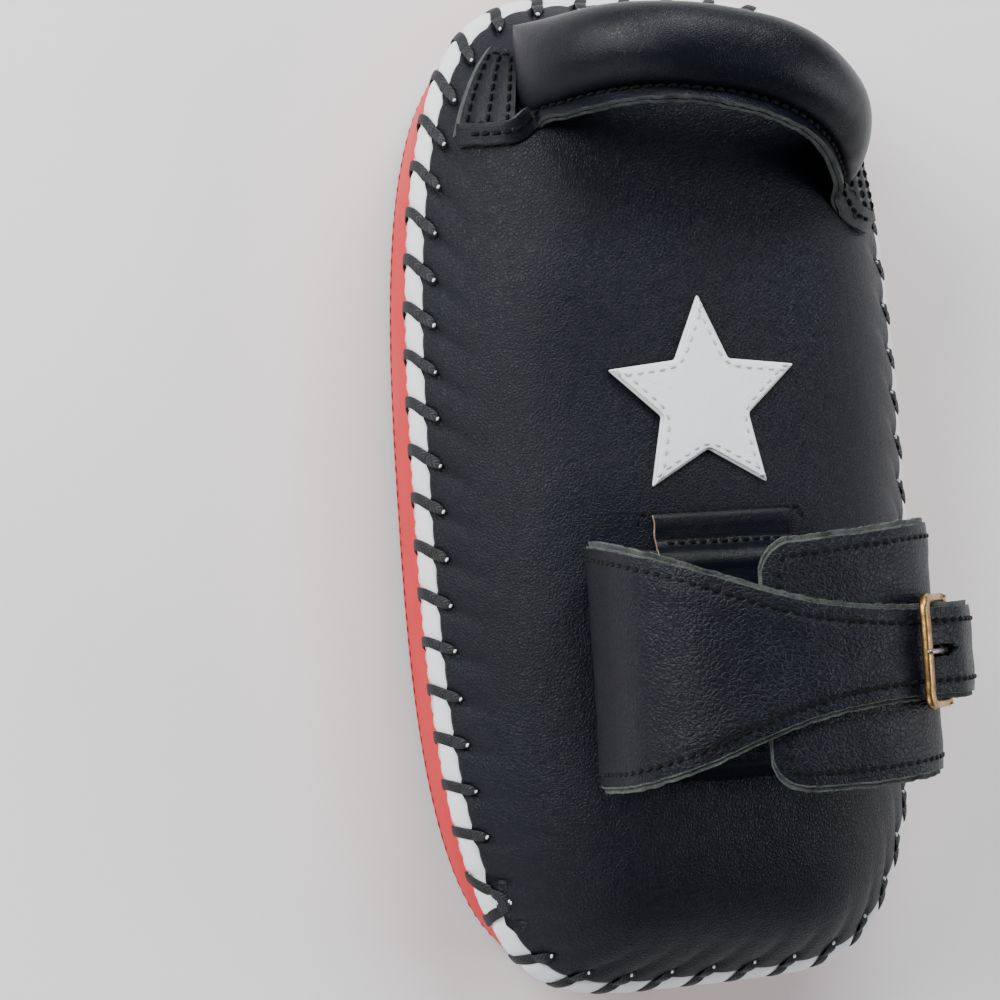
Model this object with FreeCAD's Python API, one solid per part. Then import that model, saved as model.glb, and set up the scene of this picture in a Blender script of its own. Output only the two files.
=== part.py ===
import FreeCAD, Part
import math
import os

from FreeCAD import Vector

os.makedirs("parts", exist_ok=True)

# ---------------------------------------------------------------- driving dimensions (mm)
# The pad lies on its striking face: z = 0 is that face, +Y runs to the handle end,
# +X is to the right for someone looking down on the back of the pad.
PAD_HALF_W = 104.0        # half width at the red side wall
PAD_HALF_L = 197.0        # half length at the red side wall
SIDE_POWER = 4.8          # squareness of the outline across the width
END_POWER = 2.7           # roundness of the outline at the two ends
LEATHER = 1.8             # one ply of leather
GAP = 0.2                 # clearance between neighbouring pieces

FACE_EDGE = 13.0          # inset where the flat of the striking face starts
FACE_DEPTH = 18.0         # depth of the dished striking face
GUSSET_BOTTOM = 9.0       # the red wall laps over the face's wall from here
GUSSET_TOP = 50.2
WALL_DRAFT = 4.0          # the wall draws in this much towards the striking face

ROPE_Z = 53.8             # centre of the cotton rope
ROPE_R = 3.4
ROPE_OUT = 2.8            # the rope stands this far outside the wall
PANEL_EDGE_Z = 62.6       # edge of the black back panel, underside
PANEL_EDGE_IN = 4.4       # inset of that edge from the wall
CROWN_Z = 101.0           # top of the back dome
DOME_RUN = 60.0           # the dome rises over this width from the panel's edge
DOME_POWER = 2.7          # how soon it levels out
CROWN_RISE = 1.2          # slow extra rise from the dome's shoulder to its middle
DOME_MIDDLE = 86.0        # the crown is flat further in than this

LACE_COUNT = 57
LACE_WIDTH = 4.2
LACE_THICK = 0.9
LACE_LEAN = 1.0           # a stitch runs this far along the edge for each unit inwards
LACE_HOLE_RUN = 3.2       # the lace holes are this far up the panel from its edge
FOAM_CLEAR = 0.4          # the soft foam stops this far under the back panel

BADGE_Y = 31.0
BADGE_R = 41.0
BADGE_THICK = 2.5

# handle
GRIP_HALF_X = 73.0
GRIP_Y = 161.0
GRIP_CENTRE_X = -3.0
GRIP_CROWN_Z = 139.0
GRIP_END_Z = (91.0, 98.0)  # centre of the roll where it meets the left and right tab
GRIP_HALF_Y = 17.0
GRIP_HALF_Z = 13.5
FLANGE_REACH = 6.0
FLANGE_THICK = 4.0
TAB_LENGTH = 44.0
TAB_WIDTH = 21.0
TAB_THICK = 3.6
TAB_CORNER = 3.0
TAB_CLEAR = 1.4           # the tabs stop this far inside the row of lace holes
TAB_LEFT = (-75.5, 153.5, -9.0)      # x, y, lean in degrees
TAB_RIGHT = (81.0, 123.5, 6.0)

# forearm cuff
CUFF_HALF_W = 62.0        # inner half width
CUFF_HALF_H = 35.0        # inner half height
CUFF_Z = 141.0            # centre of the opening
CUFF_POWER = 2.5          # roundness of the top of the opening
CUFF_BASE_POWER = 4.0     # the base is flatter
CUFF_TOP_Y = -22.0        # band edge nearest the handle, at the folds
CUFF_LOW_Y = -115.0
CUFF_WAIST = 7.0          # the band is this much narrower each side at its middle
LAYER = 4.2               # step out where the strap passes over the flap beneath
FLAP_HINGE_DEG = 54.0     # where the under flap starts to bend
FLAP_END_DEG = 104.0
BRIDGE_X = (-28.0, 34.0)
BRIDGE_Y = (-11.0, -127.0)

# buckle
TONGUE_Y = -70.6          # centre line of the tongue
TONGUE_W = 33.0
HEEL_DEG = 31.0           # place of the heel bar round the cuff
FRONT_DEG = 50.5          # place of the front bar round the cuff
HEEL_LIFT = 7.5           # heel bar's centre above the cuff's inner surface
FRONT_LIFT = 11.6         # front bar's centre above the cuff's inner surface
HEEL_R = 1.75
FRONT_BAR = 4.8           # width of the front bar
ARM_W = 3.4
BAR_THICK = 3.2
BUCKLE_INNER_W = 35.0
PRONG_R = 1.2
PRONG_EYE_R = 2.9
PRONG_EYE_W = 3.6
SLOT_START = 4.6          # the tongue's slot, measured from the heel bar towards the front bar
SLOT_END = 11.8
SLOT_W = 4.2
CHAPE_PLY = 1.6
RUNNING = 0.06            # radial clearance of a piece that turns on the heel bar


# ---------------------------------------------------------------- helpers
def save(shape, node):
    """Write one node as parts/NODE.step."""
    solids = shape.Solids
    result = solids[0] if len(solids) == 1 else Part.makeCompound(solids)
    result.exportStep("parts/%s.step" % node)
    box = result.BoundBox
    print("%-20s solids %2d  vol %9.0f  z %.1f..%.1f  valid %s"
          % (node, len(solids), result.Volume, box.ZMin, box.ZMax, result.isValid()))


def spline(points, closed=False):
    """Smooth edge through points."""
    curve = Part.BSplineCurve()
    curve.interpolate([Vector(*p) for p in points], PeriodicFlag=closed)
    return curve.toShape()


def polyline_face(points):
    """Flat face inside a closed polygon."""
    corners = [Vector(*p) for p in points]
    return Part.Face(Part.makePolygon(corners + [corners[0]]))


def outline_point(angle, inset):
    """Point of the pad's rounded-rectangle outline, inset from the wall."""
    c = math.cos(angle)
    s = math.sin(angle)
    x_power = abs(c) ** SIDE_POWER
    y_power = abs(s) ** END_POWER
    lo, hi = 0.2, 2.0
    half_w = PAD_HALF_W - inset
    half_l = PAD_HALF_L - inset
    for _ in range(40):
        mid = (lo + hi) / 2
        if x_power * mid ** SIDE_POWER + y_power * mid ** END_POWER > 1.0:
            hi = mid
        else:
            lo = mid
    return (half_w * c * lo, half_l * s * lo)


def rim_angles(count):
    """Angles that divide the outline into equal lengths."""
    steps = 1440
    angles = [2 * math.pi * i / steps for i in range(steps + 1)]
    points = [outline_point(angle, 0.0) for angle in angles]
    travelled = [0.0]
    for before, after in zip(points, points[1:]):
        travelled.append(travelled[-1] + math.dist(before, after))
    found = []
    index = 0
    for number in range(count):
        target = travelled[-1] * (number + 0.5) / count
        while travelled[index + 1] < target:
            index += 1
        share = (target - travelled[index]) / (travelled[index + 1] - travelled[index])
        found.append(angles[index] + share * (angles[index + 1] - angles[index]))
    return found


def outline_wire(inset, z, count=44):
    """Closed outline at one height."""
    points = []
    for i in range(count):
        x, y = outline_point(2 * math.pi * i / count, inset)
        points.append((x, y, z))
    return Part.Wire([spline(points, closed=True)])


def stack(levels):
    """Solid through outlines given as (inset, z) from the bottom up."""
    return Part.makeLoft([outline_wire(inset, z) for inset, z in levels], True, True)


def ring(outer_levels, inner_levels):
    """Closed band round the pad between two stacks."""
    return stack(outer_levels).cut(stack(inner_levels))


def dome_height(run):
    """Height of the panel's underside at this distance in from its edge."""
    rise = CROWN_Z - LEATHER - PANEL_EDGE_Z - CROWN_RISE
    if run < 0:
        return PANEL_EDGE_Z + rise * DOME_POWER * run / DOME_RUN
    part = max(0.0, 1.0 - run / DOME_RUN)
    slow = CROWN_RISE * min(1.0, run / DOME_MIDDLE)
    return PANEL_EDGE_Z + rise * (1 - part ** DOME_POWER) + slow


def dome_station(run, offset):
    """(inset, z) of the dome at one run, moved out along the surface normal."""
    step = 0.05
    slope = (dome_height(run + step) - dome_height(run)) / step
    size = math.hypot(slope, 1.0)
    return (PANEL_EDGE_IN + run - offset * slope / size, dome_height(run) + offset / size)


def dome_solid(offset):
    """Everything under the dome surface moved out by offset, from just below its edge."""
    runs = (-3.0, 0.0, 3.0, 7.0, 12.0, 18.0, 25.0, 33.0, 42.0, 52.0, 66.0, DOME_MIDDLE)
    return stack([dome_station(run, offset) for run in runs])


def above(shape, z):
    """Part of a shape above one height."""
    reach = PAD_HALF_L + 50
    return shape.common(Part.makeBox(2 * reach, 2 * reach, reach, Vector(-reach, -reach, z)))


def dome_skin(inner, outer, prism):
    """Piece of a skin that lies on the dome, cut out by an upright prism."""
    return dome_solid(outer).common(prism).cut(dome_solid(inner))


def upright_prism(edges_face, low, high):
    """Prism over a flat face in XY."""
    face = edges_face.Faces[0].copy()
    face.translate(Vector(0, 0, low))
    return face.extrude(Vector(0, 0, high - low))


def rounded_rectangle(cx, cy, width, length, radius, turn):
    """Flat rounded rectangle at z = 0, turned about its centre."""
    hx = width / 2
    hy = length / 2
    box = Part.makeBox(width, length, 1.0, Vector(-hx, -hy, 0))
    uprights = [e for e in box.Edges if abs(e.Vertexes[0].Z - e.Vertexes[-1].Z) > 0.5]
    solid = box.makeFillet(radius, uprights)
    face = [f for f in solid.Faces if abs(f.BoundBox.ZMax) < 1e-6][0].copy()
    face.rotate(Vector(0, 0, 0), Vector(0, 0, 1), turn)
    face.translate(Vector(cx, cy, 0))
    return face


# ---------------------------------------------------------------- the padded body
def striking_face():
    """Dished leather face: flat middle, rolled edge and a short wall."""
    outer = stack([(FACE_EDGE, 0.0), (8.5, 1.2), (5.5, 4.2), (WALL_DRAFT + LEATHER, 9.0),
                   (WALL_DRAFT + LEATHER - 0.6, FACE_DEPTH)])
    inner = stack([(FACE_EDGE + 0.5, LEATHER), (10.0, 3.0), (7.6, 5.6),
                   (WALL_DRAFT + 2 * LEATHER, 9.6), (WALL_DRAFT + 2 * LEATHER - 0.6, FACE_DEPTH + 1)])
    return outer.cut(inner)


def side_gusset():
    """Red wall that laps over the face's wall and reaches up to the rope."""
    middle = (GUSSET_BOTTOM + GUSSET_TOP) / 2
    lap = FACE_DEPTH + 1.5
    outer = [(WALL_DRAFT - 0.2, GUSSET_BOTTOM), (WALL_DRAFT - 1.6, lap), (0.6, middle + 4),
             (0.4, GUSSET_TOP)]
    inner = [(WALL_DRAFT + LEATHER - 0.3, GUSSET_BOTTOM - 1), (WALL_DRAFT + LEATHER - 1.0, lap),
             (LEATHER + 0.7, middle + 4), (LEATHER + 0.5, GUSSET_TOP + 1)]
    return ring(outer, inner)


def rope_welt():
    """Cotton rope laid round the top of the wall."""
    outer = []
    for step in range(7):
        turn = math.radians(-80 + step * 160 / 6)
        inset = ROPE_R * (1 - math.cos(turn)) - ROPE_OUT
        outer.append((inset, ROPE_Z + ROPE_R * math.sin(turn)))
    low = (ROPE_R + 1.2, ROPE_Z - ROPE_R - 1)
    high = (ROPE_R + 1.2, ROPE_Z + ROPE_R + 1)
    return ring(outer, [low, high])


def white_binding():
    """White leather folded over the rope, sloping in under the back panel."""
    outer = [(-2.2, 57.5), (-1.4, 58.9), (0.6, 61.0), (2.8, 62.2), (7.0, 62.4)]
    under = [(-0.4, 57.0), (0.4, 58.9), (2.4, 60.4), (4.2, 60.8), (7.6, 60.9)]
    return ring(outer, [(7.2, 56.0), (7.2, 64.0)]).cut(stack(under))


def strike_foam():
    """Dense foam slab behind the striking face."""
    inset = WALL_DRAFT + 2 * LEATHER + GAP
    return stack([(FACE_EDGE + 2.5, LEATHER + GAP), (inset + 3.4, 4.6), (inset + 0.4, 10.0),
                  (inset, 30.0)])


def core_foam():
    """Layered core foam inside the red wall."""
    inset = LEATHER + 1.0
    return stack([(inset + 3.5, 30.2), (inset + 1.0, 40.0), (inset + 0.6, GUSSET_TOP - 1)])


def back_foam():
    """Soft foam that fills the domed back."""
    base = stack([(ROPE_R + 1.6, GUSSET_TOP), (ROPE_R + 4.4, 59.0), (ROPE_R + 4.6, PANEL_EDGE_Z + 2)])
    return base.fuse(above(dome_solid(-FOAM_CLEAR), PANEL_EDGE_Z + 2)).removeSplitter()


def back_panel():
    """Black leather dome, one ply."""
    return above(dome_solid(LEATHER), PANEL_EDGE_Z).cut(dome_solid(0.0))


def lace_profile():
    """Inner line of one stitch as (inset, z), from the hole in the panel to the wall."""
    on_panel = [dome_station(run, LEATHER + 0.15) for run in (LACE_HOLE_RUN, 1.6, 0.3)]
    over_rim = [(0.5, 61.3), (-2.0, 59.4), (-3.0, 57.2), (-3.0, 51.8)]
    return on_panel + over_rim + [(-1.5, 49.9), (0.0, 49.0)]


def edge_lacing():
    """Flat lace whipped over the edge: one angled stitch after another."""
    low = lace_profile()
    top = []
    for index, (inset, z) in enumerate(low):
        before = low[max(0, index - 1)]
        after = low[min(len(low) - 1, index + 1)]
        di = after[0] - before[0]
        dz = after[1] - before[1]
        size = math.hypot(di, dz)
        top.append((inset + dz / size * LACE_THICK, z - di / size * LACE_THICK))
    section = low + list(reversed(top))
    return Part.makeCompound([lace_stitch(section, angle) for angle in rim_angles(LACE_COUNT)])


def lace_stitch(section, angle):
    """One stitch: a thin band bent over the edge, leaning along it."""
    x, y = outline_point(angle, 0.0)
    x2, y2 = outline_point(angle + 0.01, 0.0)
    along = Vector(x2 - x, y2 - y, 0).normalize()
    inward = Vector(-along.y, along.x, 0)
    across = inward + along * LACE_LEAN
    start = Vector(x, y, 0) - along * (LACE_WIDTH / 2)
    corners = [start + across * inset + Vector(0, 0, z) for inset, z in section]
    return Part.Face(Part.makePolygon(corners + corners[:1])).extrude(along * LACE_WIDTH)


def star_badge():
    """Plain five-pointed patch, two plies, sewn on the back."""
    points = []
    for index in range(10):
        radius = BADGE_R if index % 2 == 0 else BADGE_R * 0.47
        turn = math.radians(90 + 36 * index)
        points.append((radius * math.cos(turn), BADGE_Y + radius * math.sin(turn), 0))
    prism = upright_prism(polyline_face(points), 90.0, 110.0)
    return dome_skin(LEATHER + GAP, LEATHER + GAP + BADGE_THICK, prism)


# ---------------------------------------------------------------- handle
def grip_section(x, shrink):
    """Oval section of the handle's roll in an upright plane at x."""
    share = (x - GRIP_CENTRE_X) / GRIP_HALF_X
    reach = min(1.0, abs(share))
    end_z = GRIP_END_Z[0] if share < 0 else GRIP_END_Z[1]
    drop_y = 5.0 * reach ** 2 if share < 0 else 29.0 * reach ** 1.9
    y = GRIP_Y - drop_y
    z = end_z + (GRIP_CROWN_Z - end_z) * (1 - reach ** 2.6)
    half_y = GRIP_HALF_Y + 2.5 * reach ** 3 - shrink
    half_z = GRIP_HALF_Z * (1 - 0.62 * reach ** 4) - shrink
    points = []
    for step in range(16):
        turn = 2 * math.pi * step / 16
        points.append((x, y + half_y * math.cos(turn), z + half_z * math.sin(turn)))
    return Part.Wire([spline(points, closed=True)])


def grip_loft(shrink, trim):
    """Roll between its two ends, shrunk evenly and cut short by trim at each end."""
    wires = []
    for share in (-1.0, -0.9, -0.75, -0.5, -0.2, 0.1, 0.4, 0.65, 0.85, 1.0):
        wires.append(grip_section(GRIP_CENTRE_X + share * (GRIP_HALF_X - trim), shrink))
    return Part.makeLoft(wires, True, False)


def handle_cover():
    """Leather tube round the handle's foam."""
    return grip_loft(0.0, 0.0).cut(grip_loft(LEATHER, -1.0))


def handle_foam():
    """Foam roll inside the handle."""
    return grip_loft(LEATHER + 0.9, 1.5)


def handle_flange():
    """Two raw-edged plies sewn together along the side of the roll that faces the cuff."""
    wires = []
    for share in (-0.88, -0.7, -0.5, -0.2, 0.1, 0.4, 0.65, 0.85, 0.95):
        x = GRIP_CENTRE_X + share * GRIP_HALF_X
        box = grip_section(x, 0.0).BoundBox
        z = (box.ZMin + box.ZMax) / 2 - 1.0
        y = box.YMin
        half = FLANGE_THICK / 2
        corners = [Vector(x, y - FLANGE_REACH, z - half), Vector(x, y + 1.6, z - half),
                   Vector(x, y + 1.6, z + half), Vector(x, y - FLANGE_REACH, z + half)]
        wires.append(Part.makePolygon(corners + corners[:1]))
    return Part.makeLoft(wires, True, False).cut(grip_loft(-0.3, -2.0))


def handle_tab(place):
    """End tab of the handle, sewn flat on the dome's shoulder, inside the row of lace holes."""
    x, y, lean = place
    face = rounded_rectangle(x, y, TAB_WIDTH, TAB_LENGTH, TAB_CORNER, lean)
    holes = Part.Face(outline_wire(PANEL_EDGE_IN + LACE_HOLE_RUN + TAB_CLEAR, 0.0, 88))
    prism = upright_prism(face.common(holes), PANEL_EDGE_Z + 1.5, 112.0)
    return dome_skin(LEATHER + GAP, LEATHER + GAP + TAB_THICK, prism)


# ---------------------------------------------------------------- forearm cuff
def cuff_inner(degrees):
    """Point on the cuff's inner surface and its outward direction, in the XZ plane."""
    turn = math.radians(degrees)
    c = math.cos(turn)
    s = math.sin(turn)
    power = CUFF_POWER if s >= 0 else CUFF_BASE_POWER
    lo, hi = 0.2, 2.0
    for _ in range(40):
        mid = (lo + hi) / 2
        if abs(c * mid) ** power + abs(s * mid) ** power > 1.0:
            hi = mid
        else:
            lo = mid
    x = c * lo
    z = s * lo
    nx = math.copysign(abs(x) ** (power - 1) / CUFF_HALF_W, x)
    nz = math.copysign(abs(z) ** (power - 1) / CUFF_HALF_H, z)
    size = math.hypot(nx, nz)
    return (x * CUFF_HALF_W, CUFF_Z + z * CUFF_HALF_H, nx / size, nz / size)


def lifted(degrees, lift):
    """Point at this height above the cuff's inner surface."""
    x, z, nx, nz = cuff_inner(degrees)
    return Vector(x + nx * lift, 0, z + nz * lift)


def ply(route, low, high, y_from, y_to):
    """Leather ply along a route of (degrees, lift), between two heights above it."""
    inner = [lifted(degrees, lift + low) for degrees, lift in route]
    outer = [lifted(degrees, lift + high) for degrees, lift in route]
    edges = [spline(inner), Part.makeLine(inner[-1], outer[-1]), spline(outer),
             Part.makeLine(outer[0], inner[0])]
    face = Part.Face(Part.Wire(Part.__sortEdges__(edges)))
    face.translate(Vector(0, y_from, 0))
    return face.extrude(Vector(0, y_to - y_from, 0))


def band_route(start, end, step=8.0):
    """Route straight round the cuff at its own height."""
    count = max(2, int(round(abs(end - start) / step)))
    return [(start + (end - start) * i / count, 0.0) for i in range(count + 1)]


def band_outline():
    """Outline of the band seen from above, narrower at its middle."""
    reach = CUFF_HALF_W + 16.0
    top = []
    low = []
    for x in (-reach, -CUFF_HALF_W, -30.0, 0.0, 30.0, CUFF_HALF_W, reach):
        waist = CUFF_WAIST * max(0.0, 1 - (x / CUFF_HALF_W) ** 2)
        top.append((x, CUFF_TOP_Y - waist, 0))
        low.append((x, CUFF_LOW_Y + waist, 0))
    return outline_face(top, low)


def outline_face(top, low):
    """Flat face between two smooth long edges."""
    edges = [spline(top), Part.makeLine(Vector(*top[-1]), Vector(*low[-1])), spline(low),
             Part.makeLine(Vector(*low[0]), Vector(*top[0]))]
    return Part.Face(Part.Wire(Part.__sortEdges__(edges)))


def strap_outline():
    """Outline of the strap that crosses over the cuff and tapers into the tongue."""
    half = TONGUE_W / 2
    reach = CUFF_HALF_W + 26.0
    top = [(-reach, CUFF_TOP_Y + 2.0, 0), (-CUFF_HALF_W - 3.0, CUFF_TOP_Y, 0), (-35.0, -38.0, 0),
           (0.0, -49.0, 0), (40.0, TONGUE_Y + half, 0), (reach, TONGUE_Y + half, 0)]
    low = [(-reach, CUFF_LOW_Y - 1.0, 0), (-CUFF_HALF_W - 3.0, CUFF_LOW_Y, 0), (-35.0, -103.5, 0),
           (0.0, -91.5, 0), (40.0, TONGUE_Y - half, 0), (reach, TONGUE_Y - half, 0)]
    return outline_face(top, low)


def flap_outline():
    """Outline of the flap beneath: a broad end with large rounded corners."""
    end_x = -16.0
    corner = 13.0
    far = CUFF_HALF_W + 16.0
    top_y = -33.0
    low_y = -112.0
    arc_top = Part.Arc(Vector(end_x + corner, top_y, 0),
                       Vector(end_x + corner * 0.293, top_y - corner * 0.293, 0),
                       Vector(end_x, top_y - corner, 0)).toShape()
    arc_low = Part.Arc(Vector(end_x, low_y + corner, 0),
                       Vector(end_x + corner * 0.293, low_y + corner * 0.293, 0),
                       Vector(end_x + corner, low_y, 0)).toShape()
    edges = [arc_top, Part.makeLine(Vector(end_x, top_y - corner, 0), Vector(end_x, low_y + corner, 0)),
             arc_low, Part.makeLine(Vector(end_x + corner, low_y, 0), Vector(far, CUFF_LOW_Y + 1, 0)),
             Part.makeLine(Vector(far, CUFF_LOW_Y + 1, 0), Vector(far, CUFF_TOP_Y - 2, 0)),
             Part.makeLine(Vector(far, CUFF_TOP_Y - 2, 0), Vector(end_x + corner, top_y, 0))]
    return Part.Face(Part.Wire(Part.__sortEdges__(edges)))


def cut_to(shape, outline):
    """Part of a shape inside an outline seen from above."""
    return shape.common(upright_prism(outline, 90.0, 210.0))


OUTER_PLY = (LEATHER + 0.1, 2 * LEATHER + 0.1)
LINING_PLY = (0.0, LEATHER)
BAND_ROUTE = band_route(FLAP_HINGE_DEG, -180.0)
STRAP_ROUTE = [(-180.0, 0.0), (-194.0, 0.7), (-210.0, 2.0), (-228.0, 3.4), (-246.0, 4.1),
               (-262.0, LAYER), (-278.0, LAYER), (-294.0, LAYER), (-306.0, LAYER),
               (-315.5, 5.7), (-322.0, 8.1), (-328.5, 11.5), (-332.0, 12.2), (-335.8, 12.9)]
TIP_ROUTE = [(-336.5, 13.0), (-344.0, 14.8), (-352.0, 16.4), (-359.0, 17.5)]
FLAP_ROUTE = band_route(FLAP_HINGE_DEG + 0.5, FLAP_END_DEG + 6)


def cuff_ply(heights):
    """One ply of the band from the hinge of the flap round to the buckle."""
    low, high = heights
    band = cut_to(ply(BAND_ROUTE, low, high, -130, -10), band_outline())
    strap = cut_to(ply(STRAP_ROUTE, low, high, -130, -10), strap_outline())
    whole = band.fuse(strap.cut(prong_slot()))
    return whole.removeSplitter()


def under_flap(heights):
    """One ply of the flap's free end."""
    low, high = heights
    return cut_to(ply(FLAP_ROUTE, low, high, -130, -10), flap_outline())


def tongue_tip(heights):
    """One ply of the tongue's free end, past the buckle, with a rounded end."""
    low, high = heights
    tip = cut_to(ply(TIP_ROUTE, low, high, -130, -10), strap_outline())
    start = lifted(*TIP_ROUTE[0])
    end = lifted(*TIP_ROUTE[-1])
    length = start.distanceToPoint(end) + 8.0
    plate = Part.makeBox(length, TONGUE_W + 1, 60.0, Vector(0, -(TONGUE_W + 1) / 2, -30))
    far = [e for e in plate.Edges if e.Vertexes[0].X > 1 and e.Vertexes[-1].X > 1
           and abs(e.Vertexes[0].Z - e.Vertexes[-1].Z) > 1]
    plate = plate.makeFillet(6.0, far)
    across = (end - start).normalize()
    turn = math.degrees(math.atan2(-across.z, across.x))
    plate.translate(Vector(-7.0, 0, 0))
    plate.rotate(Vector(0, 0, 0), Vector(0, 1, 0), turn)
    plate.translate(start + Vector(0, TONGUE_Y, 0))
    return tip.common(plate)


def strap_bridge():
    """Patch that holds the band on the pad: sewn down above and below it."""
    flat = CROWN_Z + GAP
    over = CUFF_Z - CUFF_HALF_H + 1.3
    band_top = CUFF_TOP_Y - CUFF_WAIST + 2.0
    band_low = CUFF_LOW_Y + CUFF_WAIST - 2.0
    low = [(BRIDGE_Y[0], flat), (band_top + 3, flat), (band_top, over), (band_low, over),
           (band_low - 3, flat), (BRIDGE_Y[1], flat)]
    section = low + [(y, z + LEATHER) for y, z in reversed(low)]
    face = polyline_face([(BRIDGE_X[0], y, z) for y, z in section])
    return face.extrude(Vector(BRIDGE_X[1] - BRIDGE_X[0], 0, 0))


# ---------------------------------------------------------------- buckle
HEEL = lifted(HEEL_DEG, HEEL_LIFT) + Vector(0, TONGUE_Y, 0)
FRONT = lifted(FRONT_DEG, FRONT_LIFT) + Vector(0, TONGUE_Y, 0)
REACH = HEEL.distanceToPoint(FRONT)
BUCKLE_TURN = math.degrees(math.atan2(-(FRONT - HEEL).z, (FRONT - HEEL).x))


def to_buckle(shape):
    """Place a shape drawn along +X from the heel bar, flat in XY and with -Z outwards,
    on the cuff's shoulder."""
    placed = shape.copy()
    placed.rotate(Vector(0, 0, 0), Vector(0, 1, 0), BUCKLE_TURN)
    placed.translate(HEEL)
    return placed


def across_bar(radius, length):
    """Round bar along Y, centred on the heel bar."""
    return Part.makeCylinder(radius, length, Vector(0, -length / 2, 0), Vector(0, 1, 0))


def buckle_frame():
    """Cast frame: round heel bar, two arms and a broad front bar."""
    inner = BUCKLE_INNER_W / 2
    outer = inner + ARM_W
    front = REACH + FRONT_BAR / 2
    plate = Part.makeBox(front + HEEL_R, 2 * outer, BAR_THICK, Vector(-HEEL_R, -outer, -BAR_THICK / 2))
    corners = [e for e in plate.Edges if abs(e.Vertexes[0].Z - e.Vertexes[-1].Z) > 1
               and e.Vertexes[0].X > 1]
    plate = plate.makeFillet(4.5, corners)
    hole = Part.makeBox(front - FRONT_BAR + 10, 2 * inner, 20, Vector(-10, -inner, -10))
    ends = [e for e in hole.Edges if abs(e.Vertexes[0].Z - e.Vertexes[-1].Z) > 1
            and e.Vertexes[0].X > 1]
    hole = hole.makeFillet(2.0, ends)
    bar = across_bar(HEEL_R, 2 * outer - 0.4)
    return to_buckle(plate.cut(hole).fuse(bar).removeSplitter())


def buckle_prong():
    """Steel wire prong: an eye round the heel bar and a straight tongue over the front bar."""
    eye = across_bar(PRONG_EYE_R, PRONG_EYE_W).cut(across_bar(HEEL_R + RUNNING, 20))
    rise = math.degrees(math.atan2(BAR_THICK / 2 + PRONG_R + 0.2, REACH - FRONT_BAR / 2))
    wire = Part.makeCylinder(PRONG_R, REACH + 3.0, Vector(0, 0, 0), Vector(1, 0, 0))
    wire = wire.fuse(Part.makeSphere(PRONG_R, Vector(REACH + 3.0, 0, 0)))
    wire.rotate(Vector(0, 0, 0), Vector(0, 1, 0), rise)
    wire = wire.cut(across_bar(PRONG_EYE_R - 0.4, 20))
    return to_buckle(eye.fuse(wire).removeSplitter())


def prong_slot():
    """Oblong slot in the tongue that the prong comes up through."""
    round_r = SLOT_W / 2
    slot = Part.makeBox(SLOT_END - SLOT_START, SLOT_W, 20.0, Vector(SLOT_START, -round_r, -14))
    for end in (SLOT_START, SLOT_END):
        slot = slot.fuse(Part.makeCylinder(round_r, 20.0, Vector(end, 0, -14)))
    return to_buckle(slot)


def buckle_chape():
    """Leather loop round the heel bar, its two tails sewn on the cuff's right-hand fold."""
    width = BUCKLE_INNER_W - 1.5
    hole_r = HEEL_R + RUNNING + 0.04
    loop = across_bar(hole_r + CHAPE_PLY, width)
    loop.translate(HEEL)
    seat = 2 * LEATHER + 0.1 + GAP
    y_from = TONGUE_Y - width / 2
    y_to = y_from + width
    bite = 0.1
    low_route = [(HEEL_DEG, HEEL_LIFT - hole_r - CHAPE_PLY + bite), (24.0, seat), (12.0, seat),
                 (2.0, seat), (-8.0, seat)]
    second = seat + CHAPE_PLY - 3 * bite
    top_route = [(HEEL_DEG, HEEL_LIFT + hole_r + bite), (27.0, 8.9), (21.0, 6.9), (15.0, second),
                 (2.0, second), (-7.0, second)]
    lower = ply(low_route, 0.0, CHAPE_PLY - 2 * bite, y_from, y_to)
    upper = ply(top_route, 0.0, CHAPE_PLY - 2 * bite, y_from + bite, y_to - bite)
    bar = across_bar(hole_r, 60)
    bar.translate(HEEL)
    clear = Part.makeBox(11.0, PRONG_EYE_W + 1.0, 9.0, Vector(-5.5, -(PRONG_EYE_W + 1.0) / 2, -4.5))
    return loop.fuse([lower, upper]).cut([bar, to_buckle(clear)]).removeSplitter()


PARTS = {
    "striking_face": striking_face(),
    "side_gusset": side_gusset(),
    "rope_welt": rope_welt(),
    "white_binding": white_binding(),
    "strike_foam": strike_foam(),
    "core_foam": core_foam(),
    "back_foam": back_foam(),
    "back_panel": back_panel(),
    "edge_lacing": edge_lacing(),
    "star_badge": star_badge(),
    "handle_cover": handle_cover(),
    "handle_foam": handle_foam(),
    "handle_flange": handle_flange(),
    "handle_tab_left": handle_tab(TAB_LEFT),
    "handle_tab_right": handle_tab(TAB_RIGHT),
    "cuff_band": cuff_ply(OUTER_PLY),
    "cuff_lining": cuff_ply(LINING_PLY),
    "under_flap": under_flap(OUTER_PLY),
    "under_flap_lining": under_flap(LINING_PLY),
    "tongue_tip": tongue_tip(OUTER_PLY),
    "tongue_tip_lining": tongue_tip(LINING_PLY),
    "strap_bridge": strap_bridge(),
    "buckle_frame": buckle_frame(),
    "buckle_prong": buckle_prong(),
    "buckle_chape": buckle_chape(),
}
for node, shape in PARTS.items():
    save(shape, node)
print("heel bar", HEEL, "front bar", FRONT)
print("tongue hinge", lifted(-336.15, 13.0 + OUTER_PLY[1]))
print("flap hinge", lifted(FLAP_HINGE_DEG + 0.25, 0.0))
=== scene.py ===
import math

import bmesh
import bpy
import numpy as np
from bpy.props import FloatProperty, FloatVectorProperty, IntProperty, PointerProperty
from mathutils import Matrix, Vector


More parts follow.
